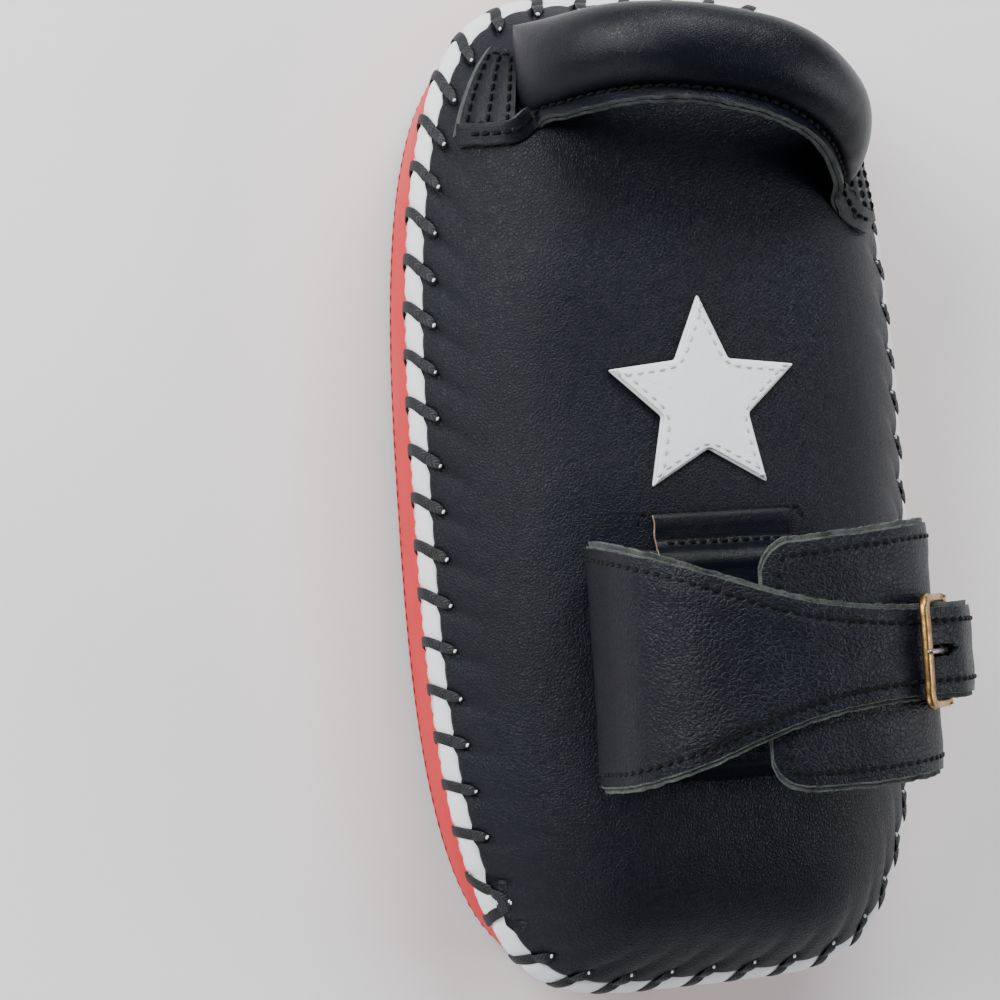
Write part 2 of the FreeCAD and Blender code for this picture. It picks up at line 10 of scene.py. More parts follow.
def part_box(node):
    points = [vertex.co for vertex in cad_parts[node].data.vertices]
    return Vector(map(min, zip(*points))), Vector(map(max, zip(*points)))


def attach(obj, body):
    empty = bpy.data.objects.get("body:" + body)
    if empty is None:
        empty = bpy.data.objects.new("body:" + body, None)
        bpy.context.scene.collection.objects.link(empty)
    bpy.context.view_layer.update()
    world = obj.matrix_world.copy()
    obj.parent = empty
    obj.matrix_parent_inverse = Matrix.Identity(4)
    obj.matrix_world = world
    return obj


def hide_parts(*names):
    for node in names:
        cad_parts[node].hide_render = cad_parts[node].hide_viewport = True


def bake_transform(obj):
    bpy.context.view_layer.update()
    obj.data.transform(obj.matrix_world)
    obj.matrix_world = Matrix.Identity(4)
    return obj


bl_info = {
    "name": "Thai Pad",
    "version": (1, 0, 0),
    "blender": (4, 5, 0),
    "location": "View3D > Sidebar > Thai Pad",
    "description": "Builds a laced leather thai pad with a hand grip and a buckled forearm cuff",
    "category": "Object",
}

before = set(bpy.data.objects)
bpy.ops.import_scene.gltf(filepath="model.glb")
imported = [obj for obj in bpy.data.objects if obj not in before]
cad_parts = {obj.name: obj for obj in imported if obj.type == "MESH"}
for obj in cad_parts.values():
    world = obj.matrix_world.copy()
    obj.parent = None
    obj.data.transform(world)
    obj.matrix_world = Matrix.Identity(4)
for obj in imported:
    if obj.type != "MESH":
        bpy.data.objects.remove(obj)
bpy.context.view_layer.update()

MM = 0.001
GUSSET_LOW, GUSSET_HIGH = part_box("side_gusset")

# outline and rim, in millimetres
SIDE_POWER = 4.8
END_POWER = 2.7
WALL_TOP_IN = 0.4
PANEL_EDGE_IN = 4.4
PANEL_EDGE_Z = 62.6
CROWN_Z = 101.0
DOME_RUN = 60.0
DOME_POWER = 2.7
CROWN_RISE = 1.2
DOME_MIDDLE = 86.0
ROPE_IN = 2.0
ROPE_Z = 53.8
LACE_HOLE_RUN = 3.2

# forearm cuff
CUFF_HALF_W = 62.0
CUFF_HALF_H = 35.0
CUFF_Z = 141.0
CUFF_POWER = 2.5
CUFF_BASE_POWER = 4.0
CUFF_TOP_Y = -22.0
CUFF_LOW_Y = -115.0
CUFF_WAIST = 7.0
TONGUE_Y = -70.6
TONGUE_W = 33.0
HEEL_DEG = 31.0
HEEL_LIFT = 7.5
FRONT_DEG = 50.5
FRONT_LIFT = 11.6


# ---------------------------------------------------------------- settings
class PadSizes(bpy.types.PropertyGroup):
    """Sizes that a user would change."""

    half_width: FloatProperty(name="Half width", description="Half the width at the top of the red wall",
                              default=(GUSSET_HIGH.x - GUSSET_LOW.x) / 2 + WALL_TOP_IN * MM,
                              unit="LENGTH")
    half_length: FloatProperty(name="Half length", description="Half the length at the top of the red wall",
                               default=(GUSSET_HIGH.y - GUSSET_LOW.y) / 2 + WALL_TOP_IN * MM,
                               unit="LENGTH")
    leather: FloatProperty(name="Leather", description="Thickness of one ply of leather",
                           default=0.0018, unit="LENGTH")
    lace_count: IntProperty(name="Lace stitches", description="Whipped stitches round the rim", default=57)
    lace_width: FloatProperty(name="Lace width", description="Width of the flat lace", default=0.0044,
                              unit="LENGTH")
    stitch: FloatProperty(name="Stitch", description="Length of one sewn stitch", default=0.0034,
                          unit="LENGTH")
    badge_radius: FloatProperty(name="Patch radius", description="Radius to the points of the star patch",
                                default=0.041, unit="LENGTH")


class PadColours(bpy.types.PropertyGroup):
    """Colours that a user would change."""

    back: FloatVectorProperty(name="Back leather", description="Colour of the domed back", size=3,
                              default=(0.0026, 0.0033, 0.0078), subtype="COLOR")
    wall: FloatVectorProperty(name="Side leather", description="Colour of the side wall", size=3,
                              default=(0.62, 0.004, 0.010), subtype="COLOR")
    binding: FloatVectorProperty(name="Binding", description="Colour of the rim binding and patch", size=3,
                                 default=(0.80, 0.81, 0.84), subtype="COLOR")
    rope: FloatVectorProperty(name="Rope", description="Colour of the cotton rope", size=3,
                              default=(0.66, 0.61, 0.53), subtype="COLOR")
    metal: FloatVectorProperty(name="Buckle", description="Colour of the antique brass", size=3,
                               default=(0.46, 0.27, 0.10), subtype="COLOR")


class PadStage(bpy.types.PropertyGroup):
    """Camera and light."""

    yaw: FloatProperty(name="Yaw", description="How far the camera stands to the pad's left",
                       default=math.radians(18.7), subtype="ANGLE")
    pitch: FloatProperty(name="Pitch", description="How far the camera stands towards the cuff end",
                         default=math.radians(2.6), subtype="ANGLE")
    roll: FloatProperty(name="Roll", description="Turn about the line of sight",
                        default=math.radians(3.8), subtype="ANGLE")
    distance: FloatProperty(name="Distance", description="Camera to the point it looks at",
                            default=1.067, unit="LENGTH")
    focal: FloatProperty(name="Lens", description="Focal length on a 36 mm sensor, in millimetres",
                         default=97.6)
    aim: FloatVectorProperty(name="Aim", description="Point the camera looks at", size=3,
                             default=(-0.0703, -0.0017, 0.056), subtype="XYZ")
    key: FloatProperty(name="Key light", description="Power of the large soft light, in watts", default=31.0)


def sizes():
    return bpy.context.scene.pad_sizes


def colours():
    return bpy.context.scene.pad_colours


# ---------------------------------------------------------------- mesh helpers
def add_object(name, points, faces, materials, uvs=None, indices=None, smooth=True):
    """New mesh object from points in metres, with outward normals."""
    mesh = bpy.data.meshes.new(name)
    mesh.from_pydata([tuple(p) for p in points], [], faces)
    for material in materials:
        mesh.materials.append(material)
    if indices is not None:
        mesh.polygons.foreach_set("material_index", indices)
    if uvs is not None:
        layer = mesh.uv_layers.new(name="UVMap")
        for loop in mesh.loops:
            layer.data[loop.index].uv = uvs[loop.vertex_index]
    work = bmesh.new()
    work.from_mesh(mesh)
    bmesh.ops.recalc_face_normals(work, faces=work.faces)
    work.to_mesh(mesh)
    work.free()
    mesh.polygons.foreach_set("use_smooth", [smooth] * len(mesh.polygons))
    mesh.update()
    piece = bpy.data.objects.new(name, mesh)
    bpy.context.scene.collection.objects.link(piece)
    return piece


def grid_faces(rows, cols, closed=False, start=0, flip=False):
    """Quads over a grid of rows by cols, optionally closed along the columns."""
    faces = []
    last = cols if closed else cols - 1
    for r in range(rows - 1):
        for c in range(last):
            d = (c + 1) % cols
            quad = (start + r * cols + c, start + r * cols + d,
                    start + (r + 1) * cols + d, start + (r + 1) * cols + c)
            faces.append(tuple(reversed(quad)) if flip else quad)
    return faces


def cap_faces(start, cols):
    """Closes a ring that is symmetric about the pad's long axis."""
    faces = []
    half = cols // 2
    quarter = cols // 4
    for c in range(-quarter, quarter):
        ring = (c % cols, (c + 1) % cols, (half - c - 1) % cols, (half - c) % cols)
        if len(set(ring)) > 2:
            faces.append(tuple(dict.fromkeys(start + i for i in ring)))
    return faces


def thick_sheet(name, outer, inner, materials, closed=False, uvs=None):
    """Leather sheet between two grids; materials are for its face, its back and its cut edge."""
    rows, cols = outer.shape[:2]
    count = rows * cols
    points = np.concatenate([outer.reshape(-1, 3), inner.reshape(-1, 3)])
    faces = grid_faces(rows, cols, closed)
    marks = [0] * len(faces)
    back = grid_faces(rows, cols, closed, count, True)
    faces += back
    marks += [min(1, len(materials) - 1)] * len(back)
    rim = []
    for r in (0, rows - 1):
        for c in range(cols if closed else cols - 1):
            d = (c + 1) % cols
            rim.append((r * cols + c, r * cols + d, count + r * cols + d, count + r * cols + c))
    if not closed:
        for c in (0, cols - 1):
            for r in range(rows - 1):
                rim.append((r * cols + c, (r + 1) * cols + c, count + (r + 1) * cols + c,
                            count + r * cols + c))
    faces += rim
    marks += [len(materials) - 1] * len(rim)
    both = None if uvs is None else np.concatenate([uvs.reshape(-1, 2)] * 2)
    return add_object(name, points, faces, materials, both, marks)


def soften(piece, width, segments=2):
    """Rounds a piece's sharp edges."""
    bevel = piece.modifiers.new("soft_edges", "BEVEL")
    bevel.width = width
    bevel.segments = segments
    bevel.limit_method = "ANGLE"
    bevel.angle_limit = math.radians(50)
    bevel.harden_normals = False
    return piece


def normals_of(grid, closed=False):
    """Unit normals of a grid of points."""
    down = np.gradient(grid, axis=0)
    if closed:
        side = (np.roll(grid, -1, axis=1) - np.roll(grid, 1, axis=1)) / 2
    else:
        side = np.gradient(grid, axis=1)
    normal = np.cross(side, down)
    return normal / np.maximum(np.linalg.norm(normal, axis=-1, keepdims=True), 1e-12)


def unit(v):
    v = np.asarray(v, float)
    return v / max(np.linalg.norm(v), 1e-12)


def tube_faces(rows, sides, start=0):
    """Faces of a tube of rows rings, closed at both ends."""
    last = start + (rows - 1) * sides
    return (grid_faces(rows, sides, True, start)
            + [tuple(start + c for c in reversed(range(sides))), tuple(last + c for c in range(sides))])


def sweep_rings(path, sides, ring, start=0):
    """Points and faces of a swept section; ring(i) gives sides by 3 points at station i."""
    rings = np.array([ring(i) for i in range(len(path))])
    return rings.reshape(-1, 3), tube_faces(len(path), sides, start)


def domed_shell(name, outer, inner, materials):
    """Closed leather shell between two ringed grids, each filled across its last ring."""
    rows, cols = outer.shape[:2]
    count = rows * cols
    points = np.concatenate([outer.reshape(-1, 3), inner.reshape(-1, 3)])
    skin = grid_faces(rows, cols, True) + cap_faces((rows - 1) * cols, cols)
    back = grid_faces(rows, cols, True, count, True) + cap_faces(count + (rows - 1) * cols, cols)
    edge = [(c, (c + 1) % cols, count + (c + 1) % cols, count + c) for c in range(cols)]
    marks = [0] * len(skin) + [1] * len(back) + [2] * len(edge)
    return add_object(name, points, skin + back + edge, materials, None, marks)


def curve_through(xs, ys, x):
    """Smooth values at x on a curve through (xs, ys), xs rising."""
    xs = np.asarray(xs, float)
    ys = np.asarray(ys, float)
    slope = np.gradient(ys, xs)
    x = np.clip(x, xs[0], xs[-1])
    k = np.clip(np.searchsorted(xs, x, side="right") - 1, 0, len(xs) - 2)
    h = xs[k + 1] - xs[k]
    t = (x - xs[k]) / h
    a = ys[k] * (2 * t ** 3 - 3 * t ** 2 + 1) + ys[k + 1] * (3 * t ** 2 - 2 * t ** 3)
    b = slope[k] * h * (t ** 3 - 2 * t ** 2 + t) + slope[k + 1] * h * (t ** 3 - t ** 2)
    return a + b


def ripple(points, wavelength, seed):
    """Gentle irregular swell between about -1 and 1, the same on every run."""
    rng = np.random.default_rng(seed)
    total = np.zeros(points.shape[:-1])
    for _ in range(7):
        heading = unit(rng.normal(size=3))
        pace = 2 * math.pi / (wavelength * rng.uniform(0.7, 1.5))
        total += np.sin(points @ heading * pace + rng.uniform(0, 6.3))
    return total / 4.0


# ---------------------------------------------------------------- the pad's outline and dome
def outline_factor(angle):
    """Distance of the unit outline in each direction."""
    c = np.abs(np.cos(angle))
    s = np.abs(np.sin(angle))
    low = np.full_like(c, 0.2)
    high = np.full_like(c, 2.0)
    for _ in range(40):
        mid = (low + high) / 2
        outside = (c * mid) ** SIDE_POWER + (s * mid) ** END_POWER > 1.0
        high = np.where(outside, mid, high)
        low = np.where(outside, low, mid)
    return (low + high) / 2


class Rim:
    """The outline measured along its length; u runs from 0 to 1 counter-clockwise from +X."""

    def __init__(self):
        self.half_w = sizes().half_width
        self.half_l = sizes().half_length
        self.angles = np.linspace(0, 2 * math.pi, 2881)
        self.factors = outline_factor(self.angles)
        x = self.half_w * np.cos(self.angles) * self.factors
        y = self.half_l * np.sin(self.angles) * self.factors
        steps = np.hypot(np.diff(x), np.diff(y))
        self.length = steps.sum()
        self.travel = np.concatenate([[0.0], np.cumsum(steps)]) / self.length

    def place(self, u, inset, z):
        """Points at u, moved in by inset and at height z, both in millimetres."""
        u, inset, z = np.broadcast_arrays(np.asarray(u, float), inset, z)
        angle = np.interp(u % 1.0, self.travel, self.angles)
        factor = np.interp(angle, self.angles, self.factors)
        x = (self.half_w - inset * MM) * np.cos(angle) * factor
        y = (self.half_l - inset * MM) * np.sin(angle) * factor
        return np.stack([x, y, z * MM], axis=-1)

    def along(self, u):
        """Unit direction along the rim."""
        step = 0.0008
        d = self.place(u + step, 0.0, 0.0) - self.place(u - step, 0.0, 0.0)
        return d / np.linalg.norm(d, axis=-1, keepdims=True)


def dome_height(run):
    """Height in millimetres of the panel's underside, by the distance in from its edge."""
    run = np.asarray(run, float)
    rise = CROWN_Z - sizes().leather / MM - PANEL_EDGE_Z - CROWN_RISE
    part = np.clip(1.0 - run / DOME_RUN, 0.0, None)
    slow = CROWN_RISE * np.sin(np.clip(run / DOME_MIDDLE, 0.0, 1.0) * math.pi / 2)
    curved = PANEL_EDGE_Z + rise * (1 - np.clip(part, 0, 1) ** DOME_POWER) + slow
    return np.where(run < 0, PANEL_EDGE_Z + rise * DOME_POWER * run / DOME_RUN, curved)


def dome_station(run, lift):
    """Inset and height of the dome, moved out by lift along its normal, in millimetres."""
    step = 0.02
    slope = (dome_height(run + step) - dome_height(run - step)) / (2 * step)
    size = np.hypot(slope, 1.0)
    return PANEL_EDGE_IN + run - lift * slope / size, dome_height(run) + lift / size


def dome_run(x, y):
    """Distance in from the panel's edge for points in plan, in metres and millimetres."""
    half_w = sizes().half_width
    half_l = sizes().half_length
    low = np.zeros_like(np.asarray(x, float))
    high = np.full_like(low, min(half_w, half_l) - 0.0001)
    for _ in range(40):
        mid = (low + high) / 2
        inside = ((np.abs(x) / (half_w - mid)) ** SIDE_POWER
                  + (np.abs(y) / (half_l - mid)) ** END_POWER) < 1.0
        low = np.where(inside, mid, low)
        high = np.where(inside, high, mid)
    return (low + high) / 2 / MM - PANEL_EDGE_IN


def on_dome(x, y, lift):
    """Points and normals on the dome, lifted along the normal so that they land over (x, y)."""
    x = np.asarray(x, float)
    y = np.asarray(y, float)
    lift = np.asarray(lift, float)
    base_x, base_y = x.copy(), y.copy()
    step = 0.0004
    for _ in range(5):
        z = dome_height(dome_run(base_x, base_y)) * MM
        zx = (dome_height(dome_run(base_x + step, base_y)) * MM - z) / step
        zy = (dome_height(dome_run(base_x, base_y + step)) * MM - z) / step
        size = np.sqrt(zx ** 2 + zy ** 2 + 1)
        normal = np.stack([-zx / size, -zy / size, 1 / size], axis=-1)
        base_x = x - lift * normal[..., 0]
        base_y = y - lift * normal[..., 1]
    z = dome_height(dome_run(base_x, base_y)) * MM
    return np.stack([base_x, base_y, z], axis=-1) + normal * lift[..., None], normal


def lace_distance(u, inset):
    """Millimetres along the rim to the middle of the nearest lace stitch."""
    rim = Rim()
    pitch = rim.length / MM / sizes().lace_count
    phase = u * sizes().lace_count - 0.5 - inset / pitch
    return (phase - np.round(phase)) * pitch


# ---------------------------------------------------------------- finishes
class Finish:
    """A node material, built up from grain, colour and bump."""

    def __init__(self, name, constants):
        self.material = bpy.data.materials.new(name)
        self.material.use_nodes = True
        self.tree = self.material.node_tree
        self.surface = self.tree.nodes["Principled BSDF"]
        for socket, value in constants.items():
            self.surface.inputs[socket].default_value = value

    def node(self, kind, inputs, **settings):
        node = self.tree.nodes.new(kind)
        for key, value in settings.items():
            setattr(node, key, value)
        for key, value in inputs.items():
            self.put(node.inputs[key], value)
        return node

    def put(self, socket, value):
        if isinstance(value, bpy.types.NodeSocket):
            self.tree.links.new(value, socket)
        else:
            socket.default_value = value

    def place(self, kind="Object"):
        return self.node("ShaderNodeTexCoord", {}).outputs[kind]

    def scaled(self, vector, scale):
        return self.node("ShaderNodeMapping", {"Vector": vector, "Scale": scale}).outputs[0]

    def noise(self, vector, scale, detail=3.0, rough=0.55):
        inputs = {"Vector": vector, "Scale": scale, "Detail": detail, "Roughness": rough}
        return self.node("ShaderNodeTexNoise", inputs).outputs["Fac"]

    def cells(self, vector, scale, feature="F1"):
        node = self.node("ShaderNodeTexVoronoi", {"Vector": vector, "Scale": scale}, feature=feature)
        return node.outputs["Distance"]

    def waves(self, vector, scale, distortion=0.0, direction="X"):
        inputs = {"Vector": vector, "Scale": scale, "Distortion": distortion}
        node = self.node("ShaderNodeTexWave", inputs, bands_direction=direction)
        return node.outputs["Fac"]

    def sum(self, first, second, operation="ADD"):
        return self.node("ShaderNodeMath", {0: first, 1: second}, operation=operation).outputs[0]

    def spread(self, value, low, high, to_low, to_high):
        inputs = {"Value": value, "From Min": low, "From Max": high, "To Min": to_low, "To Max": to_high}
        return self.node("ShaderNodeMapRange", inputs).outputs[0]

    def warp(self, vector, scale, amount):
        """Moves the place a little, so that grain is not regular."""
        noise = self.node("ShaderNodeTexNoise", {"Vector": vector, "Scale": scale, "Detail": 2.0})
        inputs = {0: noise.outputs["Color"], 1: (0.5, 0.5, 0.5)}
        centred = self.node("ShaderNodeVectorMath", inputs, operation="SUBTRACT")
        small = self.node("ShaderNodeVectorMath", {0: centred.outputs[0], "Scale": amount}, operation="SCALE")
        return self.node("ShaderNodeVectorMath", {0: vector, 1: small.outputs[0]}).outputs[0]

    def tint(self, value, low, high):
        """Colour between two colours as value goes from 0 to 1."""
        node = self.node("ShaderNodeMix", {"Factor": value}, data_type="RGBA")
        self.put(node.inputs[6], tuple(low) + (1.0,) if not isinstance(low, bpy.types.NodeSocket) else low)
        self.put(node.inputs[7], tuple(high) + (1.0,))
        return node.outputs[2]

    def bump(self, height, distance, below=None):
        inputs = {"Height": height, "Distance": distance, "Strength": 1.0}
        if below is not None:
            inputs["Normal"] = below
        return self.node("ShaderNodeBump", inputs).outputs[0]

    def wear(self, colour, rough, normal):
        self.put(self.surface.inputs["Base Color"], colour)
        self.put(self.surface.inputs["Roughness"], rough)
        if normal is not None:
            self.put(self.surface.inputs["Normal"], normal)
        return self.material


def shade(colour, factor):
    return tuple(min(1.0, c * factor) for c in colour)


def leather(name, colour, grain, depth, rough, crease=0.0, contrast=0.25, stretch=1.0, **constants):
    """Grained leather: pebbles with fine cracks between them and soft creases; the colour is darker in the
    cracks, which is painted shade, and varies in random patches.
    """
    finish = Finish(name, {"Specular IOR Level": 0.21, **constants})
    place = finish.place()
    drawn = finish.scaled(place, (1.0 / stretch, 1.0, 1.0))
    warped = finish.warp(drawn, 0.30 / grain, grain * 1.1)
    cracks = finish.spread(finish.cells(warped, 1.0 / grain, "DISTANCE_TO_EDGE"), 0.0, 0.22, 0.0, 1.0)
    small = finish.spread(finish.cells(warped, 2.1 / grain, "DISTANCE_TO_EDGE"), 0.0, 0.25, 0.0, 1.0)
    fine = finish.noise(place, 3.1 / grain, 2.0)
    height = finish.sum(finish.sum(cracks, finish.sum(small, 0.45, "MULTIPLY")),
                        finish.sum(fine, 0.35, "MULTIPLY"))
    patches = finish.noise(place, 16.0, 4.0)
    normal = finish.bump(height, depth)
    if crease:
        folds = finish.noise(finish.warp(place, 30.0, 0.02), 60.0, 2.0, 0.5)
        normal = finish.bump(folds, crease, normal)
    # colour and roughness from random patches plus the cracks; the cracks are painted darker, as painted
    # shade
    crack_shade_and_patches = finish.spread(finish.sum(patches, finish.sum(cracks, 0.3, "MULTIPLY")), 0.35, 0.95, 0.0, 1.0)
    tinted = finish.tint(crack_shade_and_patches, shade(colour, 1 - contrast), shade(colour, 1 + contrast))
    roughness = finish.spread(crack_shade_and_patches, 0.0, 1.0, rough + 0.10, rough - 0.06)
    return finish.wear(tinted, roughness, normal)


def back_leather():
    return leather("back_hide", colours().back, 0.0015, 0.00012, 0.42, 0.0005, 0.30)


def face_leather_finish():
    return leather("face_hide", shade(colours().back, 0.85), 0.0011, 0.00006, 0.36, 0.0006)


def handle_leather():
    return leather("handle_hide", shade(colours().back, 0.8), 0.0010, 0.00005, 0.30, 0.0004)


def strap_leather():
    return leather("strap_hide", shade(colours().back, 0.95), 0.0019, 0.00014, 0.42, 0.0005, 0.35, 1.25)


def side_leather():
    return leather("red_hide", colours().wall, 0.0010, 0.00003, 0.50, 0.0004, 0.06)


def white_leather():
    return leather("white_hide", colours().binding, 0.0011, 0.00005, 0.45, 0.0006, 0.05)


def suede():
    """Soft flesh side of the leather, dark and fuzzy."""
    finish = Finish("flesh_side", {"Specular IOR Level": 0.2, "Sheen Weight": 0.12, "Sheen Roughness": 0.5})
    place = finish.place()
    nap = finish.noise(place, 1600.0, 3.0)
    brushed = finish.noise(finish.scaled(place, (60.0, 180.0, 60.0)), 1.0, 4.0)
    colour = finish.tint(brushed, (0.014, 0.016, 0.019), (0.034, 0.038, 0.042))
    return finish.wear(colour, finish.spread(nap, 0.2, 0.8, 0.78, 0.95), finish.bump(nap, 0.0004))


def raw_edge(name="cut_edge", low=(0.012, 0.015, 0.015), high=(0.085, 0.098, 0.092)):
    """Cut edge of black leather: grey fibres that were never dyed through."""
    finish = Finish(name, {"Specular IOR Level": 0.2, "Sheen Weight": 0.10, "Sheen Roughness": 0.5})
    place = finish.place()
    fibres = finish.noise(place, 1100.0, 4.0, 0.7)
    blotches = finish.noise(place, 170.0, 3.0)
    mixed = finish.spread(finish.sum(fibres, blotches), 0.75, 1.3, 0.0, 1.0)
    return finish.wear(finish.tint(mixed, low, high), finish.spread(fibres, 0.2, 0.8, 0.75, 0.95),
                       finish.bump(fibres, 0.0006))


def cotton_rope():
    """Twisted cotton: yarns along each strand, painted shade in the grooves between the yarns, a little fluff
    and dust.
    """
    finish = Finish("cotton_yarn", {"Specular IOR Level": 0.2, "Sheen Weight": 0.5, "Sheen Roughness": 0.5})
    strand = finish.place("UV")
    place = finish.place()
    yarns = finish.waves(strand, 1.0, 1.5, "DIAGONAL")
    fluff = finish.noise(place, 1300.0, 4.0, 0.7)
    dust = finish.noise(place, 45.0, 3.0)
    height = finish.sum(yarns, finish.sum(fluff, 0.8, "MULTIPLY"))
    base = colours().rope
    # colour darker in the grooves between yarns, painted shade, and in dusty patches
    yarn_shade_and_dust = finish.spread(finish.sum(yarns, dust), 0.3, 1.3, 0.0, 1.0)
    colour = finish.tint(yarn_shade_and_dust, shade(base, 0.62), shade(base, 1.12))
    return finish.wear(colour, finish.spread(fluff, 0.2, 0.8, 0.8, 0.95), finish.bump(height, 0.0005))


def braided_lace():
    """Flat black braid: two sets of yarns that meet in a herringbone along the middle."""
    finish = Finish("braided_lace", {"Specular IOR Level": 0.35})
    split = finish.node("ShaderNodeSeparateXYZ", {"Vector": finish.place("UV")})
    away = finish.sum(finish.sum(split.outputs[1], 0.5, "SUBTRACT"), 0.0, "ABSOLUTE")
    run = finish.sum(finish.sum(split.outputs[0], 0.9, "MULTIPLY"), finish.sum(away, 2.6, "MULTIPLY"))
    yarn = finish.sum(finish.sum(run, 2 * math.pi, "MULTIPLY"), 0.0, "SINE")
    fluff = finish.noise(finish.place(), 1500.0, 3.0)
    height = finish.sum(finish.sum(yarn, 0.5, "MULTIPLY"), finish.sum(fluff, 0.5, "MULTIPLY"))
    # colour follows the braid's height: darker in its grooves as painted shade, with fluff
    colour = finish.tint(finish.spread(height, -0.2, 0.8, 0.0, 1.0), (0.004, 0.005, 0.006),
                         (0.014, 0.015, 0.019))
    return finish.wear(colour, finish.spread(yarn, -1.0, 1.0, 0.62, 0.48), finish.bump(height, 0.00012))


def thread(name, colour, rough=0.5):
    """Twisted sewing thread."""
    finish = Finish(name, {"Specular IOR Level": 0.15, "Sheen Weight": 0.02, "Sheen Roughness": 0.4})
    place = finish.place()
    twist = finish.waves(place, 900.0, 2.0, "DIAGONAL")
    lint = finish.noise(place, 700.0, 3.0)
    tinted = finish.tint(lint, shade(colour, 0.75), shade(colour, 1.25))
    return finish.wear(tinted, finish.spread(twist, 0.0, 1.0, rough - 0.08, rough + 0.1),
                       finish.bump(twist, 0.0002))


def antique_brass():
    """Brass with dark tarnish in patches and brighter rubbed metal between them."""
    finish = Finish("antique_brass", {"Metallic": 1.0})
    place = finish.place()
    tarnish = finish.noise(place, 210.0, 5.0, 0.65)
    pits = finish.noise(place, 1900.0, 3.0)
    rubbed = finish.noise(finish.scaled(place, (300.0, 1500.0, 300.0)), 1.0, 2.0)
    mixed = finish.spread(finish.sum(tarnish, finish.sum(rubbed, 0.25, "MULTIPLY")), 0.42, 0.78, 0.0, 1.0)
    metal = colours().metal
    colour = finish.tint(mixed, shade(metal, 0.28), shade(metal, 1.10))
    return finish.wear(colour, finish.spread(mixed, 0.0, 1.0, 0.48, 0.24), finish.bump(pits, 0.00006))


def steel():
    """Drawn steel wire with fine lines along it."""
    finish = Finish("steel_wire", {"Metallic": 1.0})
    place = finish.place()
    lines = finish.noise(finish.scaled(place, (400.0, 4000.0, 400.0)), 1.0, 2.0)
    stains = finish.noise(place, 300.0, 3.0)
    colour = finish.tint(stains, (0.16, 0.145, 0.13), (0.42, 0.39, 0.35))
    return finish.wear(colour, finish.spread(stains, 0.2, 0.8, 0.40, 0.24), finish.bump(lines, 0.00003))


def foam_finish():
    """Open-cell foam."""
    finish = Finish("open_foam", {"Specular IOR Level": 0.2, "Subsurface Weight": 0.0})
    place = finish.place()
    holes = finish.cells(place, 700.0)
    age = finish.noise(place, 30.0, 3.0)
    colour = finish.tint(age, (0.50, 0.46, 0.36), (0.66, 0.62, 0.50))
    return finish.wear(colour, finish.spread(holes, 0.0, 0.6, 0.8, 0.95), finish.bump(holes, 0.0008))


def floor_finish():
    """Pale seamless studio floor."""
    finish = Finish("studio_floor", {"Specular IOR Level": 0.25})
    place = finish.place()
    cloud = finish.noise(place, 3.0, 2.0)
    grit = finish.noise(place, 900.0, 2.0)
    colour = finish.tint(cloud, (0.78, 0.78, 0.79), (0.82, 0.82, 0.83))
    return finish.wear(colour, finish.spread(cloud, 0.0, 1.0, 0.62, 0.72), finish.bump(grit, 0.00005))


FINISHES = {
    "back_leather": back_leather,
    "face_leather": face_leather_finish,
    "handle_leather": handle_leather,
    "strap_leather": strap_leather,
    "side_leather": side_leather,
    "white_leather": white_leather,
    "suede": suede,
    "raw_edge": raw_edge,
    "tan_edge": lambda: raw_edge("tan_edge", (0.16, 0.10, 0.06), (0.42, 0.29, 0.18)),
    "cotton_rope": cotton_rope,
    "braided_lace": braided_lace,
    "black_thread": lambda: thread("black_thread", (0.0016, 0.0018, 0.0026)),
    "red_thread": lambda: thread("red_thread", (0.30, 0.004, 0.008)),
    "white_thread": lambda: thread("white_thread", (0.66, 0.67, 0.70), 0.6),
    "antique_brass": antique_brass,
    "steel": steel,
    "foam": foam_finish,
    "studio_floor": floor_finish,
}


MADE = {}


def finish_of(name):
    """The material of that name, made once."""
    if name not in MADE:
        MADE[name] = FINISHES[name]()
    return MADE[name]


def hide(face, edge="raw_edge"):
    """Finishes of one ply: its face, its flesh side and its cut edge."""
    return [finish_of(face), finish_of("suede"), finish_of(edge)]


# ---------------------------------------------------------------- sewing
def sew(name, runs, finish, pitch=0.0042, length=None, radius=0.00042, sink=0.0004, slant=0.0):
    """Rows of separate stitches. Each run is points and normals along a seam on a surface."""
    length = length or sizes().stitch
    points = []
    faces = []
    sides = 6
    stations = np.array([-1.0, -0.82, -0.4, 0.0, 0.4, 0.82, 1.0])
    for run, up in runs:
        run = np.asarray(run, float)
        up = np.broadcast_to(np.asarray(up, float), run.shape)
        steps = np.linalg.norm(np.diff(run, axis=0), axis=1)
        travel = np.concatenate([[0.0], np.cumsum(steps)])
        count = max(1, int(round(travel[-1] / pitch)))
        for k in range(count):
            mid = (k + 0.5) * travel[-1] / count
            ends = [np.array([np.interp(mid + h * length / 2, travel, run[:, a]) for a in range(3)])
                    for h in (-1, 1)]
            centre = np.array([np.interp(mid, travel, run[:, a]) for a in range(3)])
            normal = unit([np.interp(mid, travel, up[:, a]) for a in range(3)])
            along = unit(ends[1] - ends[0])
            side = unit(np.cross(normal, along))
            along = unit(along + side * slant)
            side = unit(np.cross(normal, along))
            start = len(points)
            for s in stations:
                rise = radius * 0.55 - (sink + radius) * s ** 4
                girth = radius * (1 - 0.35 * s ** 4)
                middle = centre + along * s * length / 2 + normal * rise
                for turn in range(sides):
                    angle = 2 * math.pi * turn / sides
                    points.append(middle + side * math.cos(angle) * girth * 1.15
                                  + normal * math.sin(angle) * girth)
            faces += tube_faces(len(stations), sides, start)
    return add_object(name, points, faces, [finish_of(finish)])


def settle(piece, body, slot, *nodes):
    """Rides a piece on its body and hides the nodes that it stands for; slot is not used."""
    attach(piece, body)
    if nodes:
        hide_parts(*nodes)
    return piece


